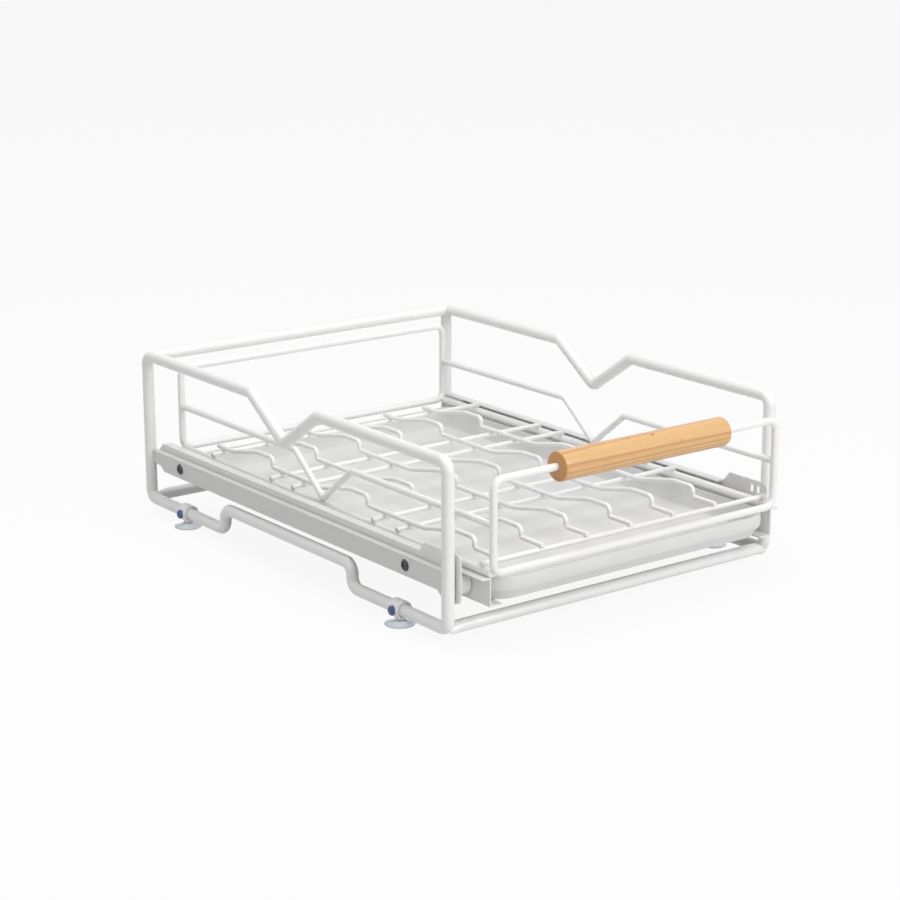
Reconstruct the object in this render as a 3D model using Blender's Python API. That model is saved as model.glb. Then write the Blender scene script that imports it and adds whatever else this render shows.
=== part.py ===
"""Pull-out bowl rack: a wire drawer on roller slides inside a bent tube frame.

Units are metres, +Z is up, +X is the right side and the drawer pulls out along -Y.
The origin is on the floor under the middle of the rack's outline, drawer part way out.
"""
import math

import bmesh
import bpy
from mathutils import Matrix, Vector

# Fits between neighbouring pieces
TOUCH_GAP = 0.0003
CUT_OVERRUN = 0.002
WELD_DISTANCE = 0.00001
BEND_STEP = math.radians(30.5)
SMOOTH_ANGLE = math.radians(40)

# Bent tube frame, measured between tube centre lines
FRAME_WIDTH = 0.328
FRAME_DEPTH = 0.4355
FRAME_HEIGHT = 0.1292
TUBE_RADIUS = 0.005
TUBE_BEND_RADIUS = 0.008
TUBE_RESOLUTION = 4
CROSS_TUBE_INSET = 0.001
CROSS_TUBE_OVERLAP = 0.003

# Notch in the top rail of each side loop
NOTCH_HALF_LENGTH = 0.0486
NOTCH_DEPTH = 0.0332
NOTCH_SHOULDER_RADIUS = 0.010
NOTCH_TIP_RADIUS = 0.0058

# Raised middle of the bottom rail of each side loop
ARCH_HALF_LENGTH = 0.0938
ARCH_RISE = 0.019
ARCH_BEND_RADIUS = 0.0088

# Suction feet under the bottom rails
RAIL_ABOVE_FLOOR = 0.0124
FOOT_INSET = 0.06095
CLIP_WALL = 0.0021
CLIP_LENGTH = 0.0125
CLIP_WINDOW_RADIUS = 0.0036
BUTTON_HEIGHT = 0.0032
BUTTON_CHAMFER = 0.0008
CUP_RADIUS = 0.0118
CUP_NECK_RADIUS = 0.0036
CUP_NECK_HEIGHT = 0.0010
CUP_LIP_WIDTH = 0.0015
CUP_WALL = 0.0014
FOOT_SEGMENTS = 16

# Folded sheet of the slides
SHEET = 0.0012
STRIP_RISE = 0.0285
STRIP_HEIGHT = 0.016
STRIP_NOTCH_LENGTH = 0.0130
STRIP_NOTCH_HEIGHT = 0.0045
CHANNEL_STANDOFF = 0.0008
CHANNEL_RISE = 0.0290
CHANNEL_HEIGHT = 0.0212
CHANNEL_TOP_FLANGE = 0.0080
CHANNEL_BOTTOM_FLANGE = 0.0112
CHANNEL_REAR_MARGIN = 0.0045
CHANNEL_REAR_CHAMFER = 0.0070
CHANNEL_FRONT_MARGIN = 0.0075
STOP_TAB_WIDTH = 0.0038
STOP_TAB_DROP = 0.0042
STOP_TAB_HEIGHT = 0.0100
FRONT_STOP_OFFSET = 0.0494

# Raised plate at the front end of each fixed channel
PLATE_LENGTH = 0.0440
PLATE_TOP = 0.0580
PLATE_BOTTOM = 0.0200
PLATE_SLOPE = 0.0075
PLATE_CORNER_RADIUS = 0.0050
PLATE_HOLE_COUNT = 2
PLATE_HOLE_RADIUS = 0.0013
PLATE_HOLE_PITCH = 0.0072
PLATE_HOLE_DROP = 0.0068
PLATE_HOLE_INSET = 0.0104

# Screws that hold the channels to the strips
SCREW_INSET = 0.05225
SCREW_RISE = 0.0373
SCREW_HEAD_RADIUS = 0.0045
SCREW_HEAD_HEIGHT = 0.0024
SCREW_SHANK_RADIUS = 0.0018
SCREW_TIP_LENGTH = 0.0008
SCREW_SEGMENTS = 16

# Rollers and their pins
ROLLER_RADIUS = 0.0087
ROLLER_CHAMFER = 0.0007
ROLLER_SIDE_GAP = 0.0010
ROLLER_WIRE_GAP = 0.0005
ROLLER_CHANNEL_GAP = 0.0017
ROLLER_SEGMENTS = 20
FRONT_ROLLER_INSET = 0.0040
REAR_ROLLER_INSET = 0.0185
PIN_RADIUS = 0.0025
PIN_COLLAR_RADIUS = 0.0045
PIN_COLLAR_LENGTH = 0.0008
PIN_HEAD_RADIUS = 0.0042
PIN_HEAD_HEIGHT = 0.0010
COUNTERBORE_RADIUS = 0.0049
COUNTERBORE_DEPTH = 0.0016
PIN_SEGMENTS = 12

# Drawer, measured between wire centre lines
DRAWER_SIDE_GAP = 0.0206
DRAWER_EXTRA_DEPTH = 0.0064
DRAWER_LOOP_HEIGHT = 0.0718
DRAWER_PULLED_OUT = 0.0244
DRAWER_CLOSING = 0.024
LOOP_WIRE_RADIUS = 0.0030
LOOP_BEND_RADIUS = 0.0085
LOOP_RESOLUTION = 3

# Notched side wires of the drawer
SIDE_WIRE_RADIUS = 0.0027
SIDE_WIRE_RISE = 0.0374
SIDE_NOTCH_HALF_LENGTH = 0.0403
SIDE_NOTCH_SHOULDER_RADIUS = 0.0065
SIDE_NOTCH_TIP_RADIUS = 0.0033

# Drawer rails under the floor wires
RAIL_RISE = 0.0208
RAIL_HEIGHT = 0.0229
RAIL_TOP_FLANGE = 0.0078
RAIL_BOTTOM_FLANGE = 0.0120
RAIL_FRONT_MARGIN = 0.0021
RAIL_REAR_MARGIN = 0.0065
RAIL_ROLLER_RELIEF = 0.0020

# Cross wires: one at each end, and a pair in front of every fin but the last
CROSS_WIRE_RADIUS = 0.0020
CROSS_WIRE_OVERHANG = 0.0026
CROSS_WIRE_REAR_MARGIN = 0.05355
CROSS_PAIR_OFFSET = 0.0110
CROSS_PAIR_LAG = 0.0087
CROSS_PAIR_SPACING = 0.0325
CROSS_WIRE_FRONT_MARGIN = 0.0114
WIRE_RESOLUTION = 2

# Divider wires, one fin standing in front of each row of bowls
DIVIDER_COUNT = 6
DIVIDER_RADIUS = 0.0020
DIVIDER_LEFT_INSET = 0.0094
DIVIDER_RIGHT_INSET = 0.0559
DIVIDER_REAR_MARGIN = 0.04495
DIVIDER_FRONT_MARGIN = 0.0082
FIN_COUNT = 3
FIN_REAR_MARGIN = 0.13455
FIN_FRONT_MARGIN = 0.03135
FIN_HEIGHT = 0.0082
FIN_RAMP_LENGTH = 0.066
FIN_CREST_LENGTH = 0.026
FIN_UNDERCUT = 0.0040
FIN_RAMP_RADIUS = 0.030
FIN_NOSE_RADIUS = 0.0045
FIN_HEEL_RADIUS = 0.0024

# Wooden sleeve on the front top wire
HANDLE_LENGTH = 0.168
HANDLE_RADIUS = 0.0117
HANDLE_CHAMFER = 0.0012
HANDLE_SEGMENTS = 28

# Drip tray between the drawer rails
TRAY_SIDE_GAP = 0.0006
TRAY_HEIGHT = 0.0197
TRAY_LIP_HEIGHT = 0.0118
TRAY_WALL = 0.0018
TRAY_LIP_WALL = 0.0024
TRAY_DRAFT = 0.0036
TRAY_LIP_STEP = 0.0014
TRAY_NOSE = 0.0012
TRAY_FRONT_OVERHANG = 0.0024
TRAY_FRONT_DRAFT = 0.0080
TRAY_REAR_MARGIN = 0.0085
TRAY_FRONT_RADIUS = 0.024
TRAY_REAR_RADIUS = 0.010

SIDES = ((-1, "left"), (1, "right"))
ENDS = ((-1, "front"), (1, "rear"))

# Places worked out from the sizes above
LOOP_X = FRAME_WIDTH / 2
POST_Y = FRAME_DEPTH / 2
FOOT_Y = POST_Y - FOOT_INSET
SCREW_Y = POST_Y - SCREW_INSET
BASE_Z = RAIL_ABOVE_FLOOR
TOP_Z = BASE_Z + FRAME_HEIGHT
CHANNEL_X = LOOP_X - TUBE_RADIUS - CHANNEL_STANDOFF
CHANNEL_INNER_X = CHANNEL_X - SHEET
STRIP_X = LOOP_X + SHEET / 2
DRAWER_X = LOOP_X - DRAWER_SIDE_GAP
DRAWER_DEPTH = FRAME_DEPTH + DRAWER_EXTRA_DEPTH
DRAWER_END_Y = DRAWER_DEPTH / 2
RAIL_X = DRAWER_X + SHEET
RAIL_Z = BASE_Z + RAIL_RISE
RAIL_TOP_Z = RAIL_Z + RAIL_HEIGHT
FLOOR_WIRE_Z = RAIL_TOP_Z + TOUCH_GAP + LOOP_WIRE_RADIUS
CROSS_WIRE_Z = FLOOR_WIRE_Z + LOOP_WIRE_RADIUS + TOUCH_GAP + CROSS_WIRE_RADIUS
DIVIDER_Z = CROSS_WIRE_Z + CROSS_WIRE_RADIUS + TOUCH_GAP + DIVIDER_RADIUS
DRAWER_TOP_Z = FLOOR_WIRE_Z + DRAWER_LOOP_HEIGHT
CHANNEL_Z = BASE_Z + CHANNEL_RISE
CHANNEL_TOP_Z = CHANNEL_Z + CHANNEL_HEIGHT
CHANNEL_REAR_Y = POST_Y - CHANNEL_REAR_MARGIN
PLATE_FRONT_Y = -POST_Y - CHANNEL_FRONT_MARGIN
PLATE_REAR_Y = PLATE_FRONT_Y + PLATE_LENGTH
FRONT_ROLLER_Y = -POST_Y + FRONT_ROLLER_INSET
FRONT_ROLLER_Z = RAIL_TOP_Z - SHEET - TOUCH_GAP - ROLLER_RADIUS
REAR_ROLLER_Y = DRAWER_END_Y - REAR_ROLLER_INSET
REAR_ROLLER_Z = CHANNEL_Z + SHEET + TOUCH_GAP + ROLLER_RADIUS
PIN_BORE_RADIUS = PIN_RADIUS + TOUCH_GAP
DIVIDER_SPACING = (2 * DRAWER_X - DIVIDER_LEFT_INSET - DIVIDER_RIGHT_INSET) / (DIVIDER_COUNT - 1)
FIN_FIRST_Y = DRAWER_END_Y - FIN_REAR_MARGIN
FIN_PITCH = (DRAWER_DEPTH - FIN_REAR_MARGIN - FIN_FRONT_MARGIN) / (FIN_COUNT - 1)
OUTLINE_FRONT_Y = -DRAWER_END_Y - DRAWER_PULLED_OUT - HANDLE_RADIUS
OUTLINE_REAR_Y = POST_Y + TUBE_RADIUS
FRAME_CENTRE_Y = -(OUTLINE_FRONT_Y + OUTLINE_REAR_Y) / 2


def material(name, colour, roughness, metallic=0.0, alpha=1.0):
    """One finish as a Principled surface; colour is linear red, green, blue."""
    made = bpy.data.materials.new(name)
    made.use_nodes = True
    surface = made.node_tree.nodes["Principled BSDF"]
    surface.inputs["Base Color"].default_value = (*colour, 1)
    surface.inputs["Roughness"].default_value = roughness
    surface.inputs["Metallic"].default_value = metallic
    surface.inputs["Alpha"].default_value = alpha
    return made


def add_object(name, mesh, finish, parent=None, location=(0, 0, 0), rotation=(0, 0, 0)):
    """Place a finished mesh as one named piece."""
    piece = bpy.data.objects.new(name, mesh)
    bpy.context.scene.collection.objects.link(piece)
    piece.location = location
    piece.rotation_euler = rotation
    piece.parent = parent
    if finish is not None:
        mesh.materials.append(finish)
    mesh.shade_smooth()
    mesh.set_sharp_from_angle(angle=SMOOTH_ANGLE)
    return piece


def add_frame_point(name, location, parent=None):
    """An empty that carries the pieces of one moving body."""
    point = bpy.data.objects.new(name, None)
    bpy.context.scene.collection.objects.link(point)
    point.location = location
    point.parent = parent
    return point


def mesh_from(shape, name):
    """Turn a finished bmesh into mesh data with outward faces."""
    bmesh.ops.recalc_face_normals(shape, faces=shape.faces)
    mesh = bpy.data.meshes.new(name)
    shape.to_mesh(mesh)
    shape.free()
    return mesh


def rounded_route(corners, radii, closed):
    """Points along straight runs whose corners are arcs of the given radii."""
    route = []
    count = len(corners)
    for index, (corner, radius) in enumerate(zip(corners, radii)):
        is_end = not closed and index in (0, count - 1)
        if is_end or radius == 0:
            route.append(corner.copy())
            continue
        back = (corners[index - 1] - corner).normalized()
        ahead = (corners[(index + 1) % count] - corner).normalized()
        half = back.angle(ahead) / 2
        centre = corner + (back + ahead).normalized() * radius / math.sin(half)
        start = corner + back * radius / math.tan(half) - centre
        finish = corner + ahead * radius / math.tan(half) - centre
        turn = start.angle(finish)
        steps = max(1, math.ceil(turn / BEND_STEP))
        across = (finish - start * math.cos(turn)) / math.sin(turn)
        for step in range(steps + 1):
            angle = turn * step / steps
            route.append(centre + start * math.cos(angle) + across * math.sin(angle))
    return route


def rod_mesh(name, route, radius, resolution, closed=False):
    """A round rod swept along a route, with flat ends where it is open."""
    curve = bpy.data.curves.new(name, "CURVE")
    curve.dimensions = "3D"
    curve.bevel_depth = radius
    curve.bevel_resolution = resolution
    curve.use_fill_caps = True
    spline = curve.splines.new("POLY")
    spline.points.add(len(route) - 1)
    for point, place in zip(spline.points, route):
        point.co = (*place, 1)
    spline.use_cyclic_u = closed
    holder = bpy.data.objects.new(name, curve)
    mesh = bpy.data.meshes.new_from_object(holder)
    bpy.data.objects.remove(holder)
    bpy.data.curves.remove(curve)
    shape = bmesh.new()
    shape.from_mesh(mesh)
    bpy.data.meshes.remove(mesh)
    bmesh.ops.remove_doubles(shape, verts=shape.verts, dist=WELD_DISTANCE)
    return mesh_from(shape, name)


def turned_mesh(name, profile, segments, ring=False):
    """A profile of (radius, height) pairs turned about Z; a ring has a bore."""
    shape = bmesh.new()
    points = [shape.verts.new((radius, 0, height)) for radius, height in profile]
    edges = [shape.edges.new(pair) for pair in zip(points, points[1:])]
    if ring:
        edges.append(shape.edges.new((points[-1], points[0])))
    bmesh.ops.spin(
        shape,
        geom=points + edges,
        cent=(0, 0, 0),
        axis=(0, 0, 1),
        angle=math.tau,
        steps=segments,
        use_merge=True,
    )
    bmesh.ops.remove_doubles(shape, verts=shape.verts, dist=WELD_DISTANCE)
    return mesh_from(shape, name)


def folded_sheet(name, side, web_x, outline, folds, finish, parent):
    """Sheet metal: a web standing at a distance from the middle, with folded flanges.

    The outline holds (y, z) points of the web's outer face. Each fold names the first
    point of an outline edge and how far its flange reaches outwards from that edge.
    """
    shape = bmesh.new()
    rim = [shape.verts.new((side * web_x, y, z)) for y, z in outline]
    shape.faces.new(rim)
    for index, reach in folds:
        pair = (rim[index], rim[(index + 1) % len(rim)])
        edge = shape.edges.get(pair)
        grown = bmesh.ops.extrude_edge_only(shape, edges=[edge])
        moved = [item for item in grown["geom"] if isinstance(item, bmesh.types.BMVert)]
        bmesh.ops.translate(shape, verts=moved, vec=(side * reach, 0, 0))
    bmesh.ops.recalc_face_normals(shape, faces=shape.faces)
    shape.faces.ensure_lookup_table()
    if shape.faces[0].normal.x * side < 0:
        bmesh.ops.reverse_faces(shape, faces=shape.faces)
    mesh = bpy.data.meshes.new(name)
    shape.to_mesh(mesh)
    shape.free()
    piece = add_object(name, mesh, finish, parent)
    shell = piece.modifiers.new("sheet_thickness", "SOLIDIFY")
    shell.solidify_mode = "NON_MANIFOLD"
    shell.nonmanifold_thickness_mode = "CONSTRAINTS"
    shell.nonmanifold_merge_threshold = WELD_DISTANCE
    shell.thickness = SHEET
    shell.offset = -1
    return piece


def block_mesh(name, low, high):
    """A box between two corners."""
    low, high = Vector(low), Vector(high)
    shape = bmesh.new()
    bmesh.ops.create_cube(shape, size=1)
    size = high - low
    scale = Matrix.Diagonal((size.x, size.y, size.z, 1))
    bmesh.ops.transform(shape, verts=shape.verts, matrix=Matrix.Translation((low + high) / 2) @ scale)
    return mesh_from(shape, name)


def drum_mesh(name, radius, length, segments):
    """A plain cylinder along Z, used as a drill."""
    shape = bmesh.new()
    bmesh.ops.create_cone(
        shape,
        cap_ends=True,
        segments=segments,
        radius1=radius,
        radius2=radius,
        depth=length,
    )
    return mesh_from(shape, name)


def combine(target, mesh, operation, location=(0, 0, 0), rotation=(0, 0, 0)):
    """Join or cut the target with a helper solid that is not itself a piece."""
    helper = add_object(mesh.name, mesh, None, target.parent, location, rotation)
    helper.hide_render = True
    helper.display_type = "WIRE"
    step = target.modifiers.new(mesh.name, "BOOLEAN")
    step.operation = operation
    step.solver = "EXACT"
    step.object = helper


def sideways(side):
    """Rotation that turns a piece's local +Z towards one side."""
    return (0, side * math.pi / 2, 0)


def side_box(side, near_x, far_x, low_y, high_y, low_z, high_z):
    """Low and high corners of a box given by its distances from the middle."""
    xs = sorted((side * near_x, side * far_x))
    return (xs[0], low_y, low_z), (xs[1], high_y, high_z)


def side_loop_route():
    """Centre line of one side loop in the plane X = 0: notch above, arch below."""
    corners = (
        (POST_Y, TOP_Z, TUBE_BEND_RADIUS),
        (NOTCH_HALF_LENGTH, TOP_Z, NOTCH_SHOULDER_RADIUS),
        (0, TOP_Z - NOTCH_DEPTH, NOTCH_TIP_RADIUS),
        (-NOTCH_HALF_LENGTH, TOP_Z, NOTCH_SHOULDER_RADIUS),
        (-POST_Y, TOP_Z, TUBE_BEND_RADIUS),
        (-POST_Y, BASE_Z, TUBE_BEND_RADIUS),
        (-ARCH_HALF_LENGTH, BASE_Z, ARCH_BEND_RADIUS),
        (-ARCH_HALF_LENGTH, BASE_Z + ARCH_RISE, ARCH_BEND_RADIUS),
        (ARCH_HALF_LENGTH, BASE_Z + ARCH_RISE, ARCH_BEND_RADIUS),
        (ARCH_HALF_LENGTH, BASE_Z, ARCH_BEND_RADIUS),
        (POST_Y, BASE_Z, TUBE_BEND_RADIUS),
    )
    points = [Vector((0, y, z)) for y, z, _ in corners]
    return rounded_route(points, [radius for _, _, radius in corners], closed=True)


def build_side_loops(finish, frame):
    """The two bent tube loops that stand at the sides."""
    for side, tag in SIDES:
        name = f"{tag}_side_loop"
        mesh = rod_mesh(name, side_loop_route(), TUBE_RADIUS, TUBE_RESOLUTION, closed=True)
        add_object(name, mesh, finish, frame, (side * LOOP_X, 0, 0))


def build_cross_tubes(finish, frame):
    """Three tubes between the loops, their ends shaped to the loops they meet."""
    end_x = LOOP_X - TUBE_RADIUS + CROSS_TUBE_OVERLAP
    inset = CROSS_TUBE_INSET
    places = (
        ("rear_top_tube", POST_Y - inset, TOP_Z - inset),
        ("rear_bottom_tube", POST_Y - inset, BASE_Z + inset),
        ("front_bottom_tube", -POST_Y + inset, BASE_Z + inset),
    )
    for name, y, z in places:
        route = [Vector((-end_x, 0, 0)), Vector((end_x, 0, 0))]
        mesh = rod_mesh(name, route, TUBE_RADIUS, TUBE_RESOLUTION)
        tube = add_object(name, mesh, finish, frame, (0, y, z))
        for side, tag in SIDES:
            reach = TUBE_RADIUS + TOUCH_GAP
            cutter = rod_mesh(f"{name}_{tag}_cope", side_loop_route(), reach, TUBE_RESOLUTION, closed=True)
            combine(tube, cutter, "DIFFERENCE", location=(side * LOOP_X, 0, 0))


def build_feet(clip_finish, button_finish, cup_finish, frame):
    """A clip round the rail, its button and a suction cup under each rail end."""
    bore = TUBE_RADIUS + TOUCH_GAP
    clip_radius = bore + CLIP_WALL
    half = CLIP_LENGTH / 2
    clip_profile = ((bore, -half), (clip_radius, -half), (clip_radius, half), (bore, half))
    button_radius = CLIP_WINDOW_RADIUS - TOUCH_GAP
    button_profile = (
        (0, 0),
        (button_radius, 0),
        (button_radius, BUTTON_HEIGHT - BUTTON_CHAMFER),
        (button_radius - BUTTON_CHAMFER, BUTTON_HEIGHT),
        (0, BUTTON_HEIGHT),
    )
    cup_height = BASE_Z - clip_radius - TOUCH_GAP
    shoulder = cup_height - CUP_NECK_HEIGHT
    cup_profile = (
        (0, cup_height),
        (CUP_NECK_RADIUS, cup_height),
        (CUP_NECK_RADIUS, shoulder),
        ((CUP_NECK_RADIUS + CUP_RADIUS) / 2, shoulder * 2 / 3),
        (CUP_RADIUS, CUP_WALL / 2),
        (CUP_RADIUS, 0),
        (CUP_RADIUS - CUP_LIP_WIDTH, 0),
        (CUP_NECK_RADIUS, shoulder - CUP_WALL),
        (0, shoulder - CUP_WALL),
    )
    for side, tag in SIDES:
        for end, end_tag in ENDS:
            name = f"{tag}_{end_tag}"
            x, y = side * LOOP_X, end * FOOT_Y
            clip_mesh = turned_mesh(f"{name}_foot_clip", clip_profile, FOOT_SEGMENTS, ring=True)
            upright = (math.pi / 2, 0, 0)
            clip = add_object(clip_mesh.name, clip_mesh, clip_finish, frame, (x, y, BASE_Z), upright)
            drill = drum_mesh(f"{name}_clip_window", CLIP_WINDOW_RADIUS, clip_radius, PIN_SEGMENTS)
            drill_x = x + side * (clip_radius / 2 + CUT_OVERRUN)
            combine(clip, drill, "DIFFERENCE", location=(drill_x, y, BASE_Z), rotation=sideways(side))
            button = turned_mesh(f"{name}_foot_button", button_profile, PIN_SEGMENTS)
            button_place = (x + side * bore, y, BASE_Z)
            add_object(button.name, button, button_finish, frame, button_place, sideways(side))
            cup = turned_mesh(f"{name}_suction_cup", cup_profile, FOOT_SEGMENTS)
            add_object(cup.name, cup, cup_finish, frame, (x, y, 0))


def drill_sheet(piece, side, radius, near_x, y, z, segments=SCREW_SEGMENTS):
    """Drill one round hole through a sheet that stands at a distance from the middle."""
    drill = drum_mesh(f"{piece.name}_hole", radius, SHEET + 2 * CUT_OVERRUN, segments)
    combine(piece, drill, "DIFFERENCE", location=(side * near_x, y, z), rotation=sideways(side))


def build_slide_strips(finish, frame):
    """The folded strips welded between the posts, one in each side loop."""
    half = POST_Y - TUBE_RADIUS - TOUCH_GAP
    low = BASE_Z + STRIP_RISE
    high = low + STRIP_HEIGHT
    notch_y = half - STRIP_NOTCH_LENGTH
    notch_z = low + STRIP_NOTCH_HEIGHT
    outline = (
        (-half, low),
        (notch_y - STRIP_NOTCH_HEIGHT, low),
        (notch_y, notch_z),
        (half, notch_z),
        (half, high),
        (-half, high),
    )
    fold = CHANNEL_X + TOUCH_GAP - STRIP_X
    for side, tag in SIDES:
        folds = ((0, fold), (4, fold))
        strip = folded_sheet(f"{tag}_slide_strip", side, STRIP_X, outline, folds, finish, frame)
        for end, _ in ENDS:
            radius = SCREW_SHANK_RADIUS + TOUCH_GAP
            drill_sheet(strip, side, radius, LOOP_X, end * SCREW_Y, BASE_Z + SCREW_RISE)


def channel_outline():
    """Side view of the fixed channel: its lower edge first, then its upper edge.

    The first edge carries the bottom flange and the one after the rear end the top one.
    """
    plate_top = BASE_Z + PLATE_TOP
    plate_low = BASE_Z + PLATE_BOTTOM
    flange_front = FRONT_ROLLER_Y + ROLLER_RADIUS + ROLLER_SIDE_GAP
    low_rear = flange_front - (CHANNEL_Z - plate_low)
    chamfer = CHANNEL_REAR_CHAMFER
    corners = (
        (flange_front, CHANNEL_Z, 0),
        (CHANNEL_REAR_Y, CHANNEL_Z, 0),
        (CHANNEL_REAR_Y, CHANNEL_TOP_Z - chamfer, 0),
        (CHANNEL_REAR_Y - chamfer, CHANNEL_TOP_Z, 0),
        (PLATE_REAR_Y + PLATE_SLOPE, CHANNEL_TOP_Z, 0),
        (PLATE_REAR_Y, plate_top, 0),
        (PLATE_FRONT_Y, plate_top, PLATE_CORNER_RADIUS),
        (PLATE_FRONT_Y, plate_low, PLATE_CORNER_RADIUS),
        (low_rear, plate_low, 0),
    )
    points = [Vector((0, y, z)) for y, z, _ in corners]
    route = rounded_route(points, [radius for _, _, radius in corners], closed=True)
    return [(point.y, point.z) for point in route]


def build_channels(finish, frame):
    """Fixed roller channels with stop tabs, screwed to the strips."""
    overlap_x = CHANNEL_X - SHEET / 2
    stop_y = PLATE_REAR_Y + FRONT_STOP_OFFSET
    rear_stop_y = REAR_ROLLER_Y - DRAWER_PULLED_OUT + DRAWER_CLOSING + ROLLER_RADIUS + TOUCH_GAP
    under_top = CHANNEL_TOP_Z - SHEET
    half_tab = STOP_TAB_HEIGHT / 2
    tabs = (
        ("front_stop", stop_y, under_top - STOP_TAB_DROP, under_top + SHEET / 2),
        ("rear_stop", rear_stop_y, REAR_ROLLER_Z - half_tab, REAR_ROLLER_Z + half_tab),
    )
    for side, tag in SIDES:
        name = f"{tag}_slide_channel"
        folds = ((0, -CHANNEL_BOTTOM_FLANGE), (3, -CHANNEL_TOP_FLANGE))
        channel = folded_sheet(name, side, CHANNEL_X, channel_outline(), folds, finish, frame)
        for where, low_y, low_z, high_z in tabs:
            near_x = CHANNEL_X - STOP_TAB_WIDTH
            box = side_box(side, near_x, overlap_x, low_y, low_y + SHEET, low_z, high_z)
            combine(channel, block_mesh(f"{name}_{where}", *box), "UNION")
        for end, _ in ENDS:
            radius = SCREW_SHANK_RADIUS + TOUCH_GAP
            drill_sheet(channel, side, radius, overlap_x, end * SCREW_Y, BASE_Z + SCREW_RISE)
        drill_sheet(channel, side, PIN_BORE_RADIUS, overlap_x, FRONT_ROLLER_Y, FRONT_ROLLER_Z)
        for step in range(PLATE_HOLE_COUNT):
            y = PLATE_FRONT_Y + PLATE_HOLE_INSET + step * PLATE_HOLE_PITCH
            drill_sheet(channel, side, PLATE_HOLE_RADIUS, overlap_x, y, BASE_Z + PLATE_TOP - PLATE_HOLE_DROP)


def build_screws(finish, frame):
    """Pan head screws through strip and channel."""
    seat = STRIP_X + TOUCH_GAP
    tip = seat - (CHANNEL_INNER_X - SCREW_TIP_LENGTH)
    profile = (
        (0, SCREW_HEAD_HEIGHT),
        (SCREW_HEAD_RADIUS * 2 / 3, SCREW_HEAD_HEIGHT),
        (SCREW_HEAD_RADIUS, SCREW_HEAD_HEIGHT / 2),
        (SCREW_HEAD_RADIUS, 0),
        (SCREW_SHANK_RADIUS, 0),
        (SCREW_SHANK_RADIUS, -tip),
        (0, -tip),
    )
    for side, tag in SIDES:
        for end, end_tag in ENDS:
            name = f"{tag}_{end_tag}_screw"
            mesh = turned_mesh(name, profile, SCREW_SEGMENTS)
            place = (side * seat, end * SCREW_Y, BASE_Z + SCREW_RISE)
            add_object(name, mesh, finish, frame, place, sideways(side))


def roller_mesh(name, width):
    """A tyre with a bore and a recess for the pin head, starting at height zero."""
    rim = ROLLER_RADIUS - ROLLER_CHAMFER
    recess = width - COUNTERBORE_DEPTH
    profile = (
        (PIN_BORE_RADIUS, 0),
        (rim, 0),
        (ROLLER_RADIUS, ROLLER_CHAMFER),
        (ROLLER_RADIUS, width - ROLLER_CHAMFER),
        (rim, width),
        (COUNTERBORE_RADIUS, width),
        (COUNTERBORE_RADIUS, recess),
        (PIN_BORE_RADIUS, recess),
    )
    return turned_mesh(name, profile, ROLLER_SEGMENTS, ring=True)


def pin_mesh(name, collar_end, roller_width):
    """A riveted pin: shank in the sheet, collar, then a head in the roller's recess."""
    collar_start = SHEET + TOUCH_GAP
    head_start = collar_end + TOUCH_GAP + roller_width - COUNTERBORE_DEPTH + TOUCH_GAP
    profile = (
        (0, 0),
        (PIN_RADIUS, 0),
        (PIN_RADIUS, collar_start),
        (PIN_COLLAR_RADIUS, collar_start),
        (PIN_COLLAR_RADIUS, collar_end),
        (PIN_RADIUS, collar_end),
        (PIN_RADIUS, head_start),
        (PIN_HEAD_RADIUS, head_start),
        (PIN_HEAD_RADIUS, head_start + PIN_HEAD_HEIGHT),
        (0, head_start + PIN_HEAD_HEIGHT),
    )
    return turned_mesh(name, profile, PIN_SEGMENTS)


def build_front_rollers(roller_finish, pin_finish, frame):
    """Fixed rollers on the raised plates, under the drawer rails' top flanges."""
    collar_end = SHEET + TOUCH_GAP + PIN_COLLAR_LENGTH
    start_x = CHANNEL_X - collar_end - TOUCH_GAP
    width = start_x - (RAIL_X + ROLLER_SIDE_GAP)
    for side, tag in SIDES:
        inward = sideways(-side)
        pin = pin_mesh(f"{tag}_front_roller_pin", collar_end, width)
        pin_place = (side * CHANNEL_X, FRONT_ROLLER_Y, FRONT_ROLLER_Z)
        add_object(pin.name, pin, pin_finish, frame, pin_place, inward)
        roller = roller_mesh(f"{tag}_front_roller", width)
        roller_place = (side * start_x, FRONT_ROLLER_Y, FRONT_ROLLER_Z)
        add_object(roller.name, roller, roller_finish, frame, roller_place, inward)


def build_rear_rollers(roller_finish, pin_finish, drawer):
    """Rollers on the drawer rails' rear ends, running inside the fixed channels."""
    start_x = DRAWER_X + LOOP_WIRE_RADIUS + ROLLER_WIRE_GAP
    collar_end = start_x - TOUCH_GAP - DRAWER_X
    width = CHANNEL_INNER_X - ROLLER_CHANNEL_GAP - start_x
    for side, tag in SIDES:
        outward = sideways(side)
        pin = pin_mesh(f"{tag}_rear_roller_pin", collar_end, width)
        pin_place = (side * DRAWER_X, REAR_ROLLER_Y, REAR_ROLLER_Z)
        add_object(pin.name, pin, pin_finish, drawer, pin_place, outward)
        roller = roller_mesh(f"{tag}_rear_roller", width)
        roller_place = (side * start_x, REAR_ROLLER_Y, REAR_ROLLER_Z)
        add_object(roller.name, roller, roller_finish, drawer, roller_place, outward)


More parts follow.
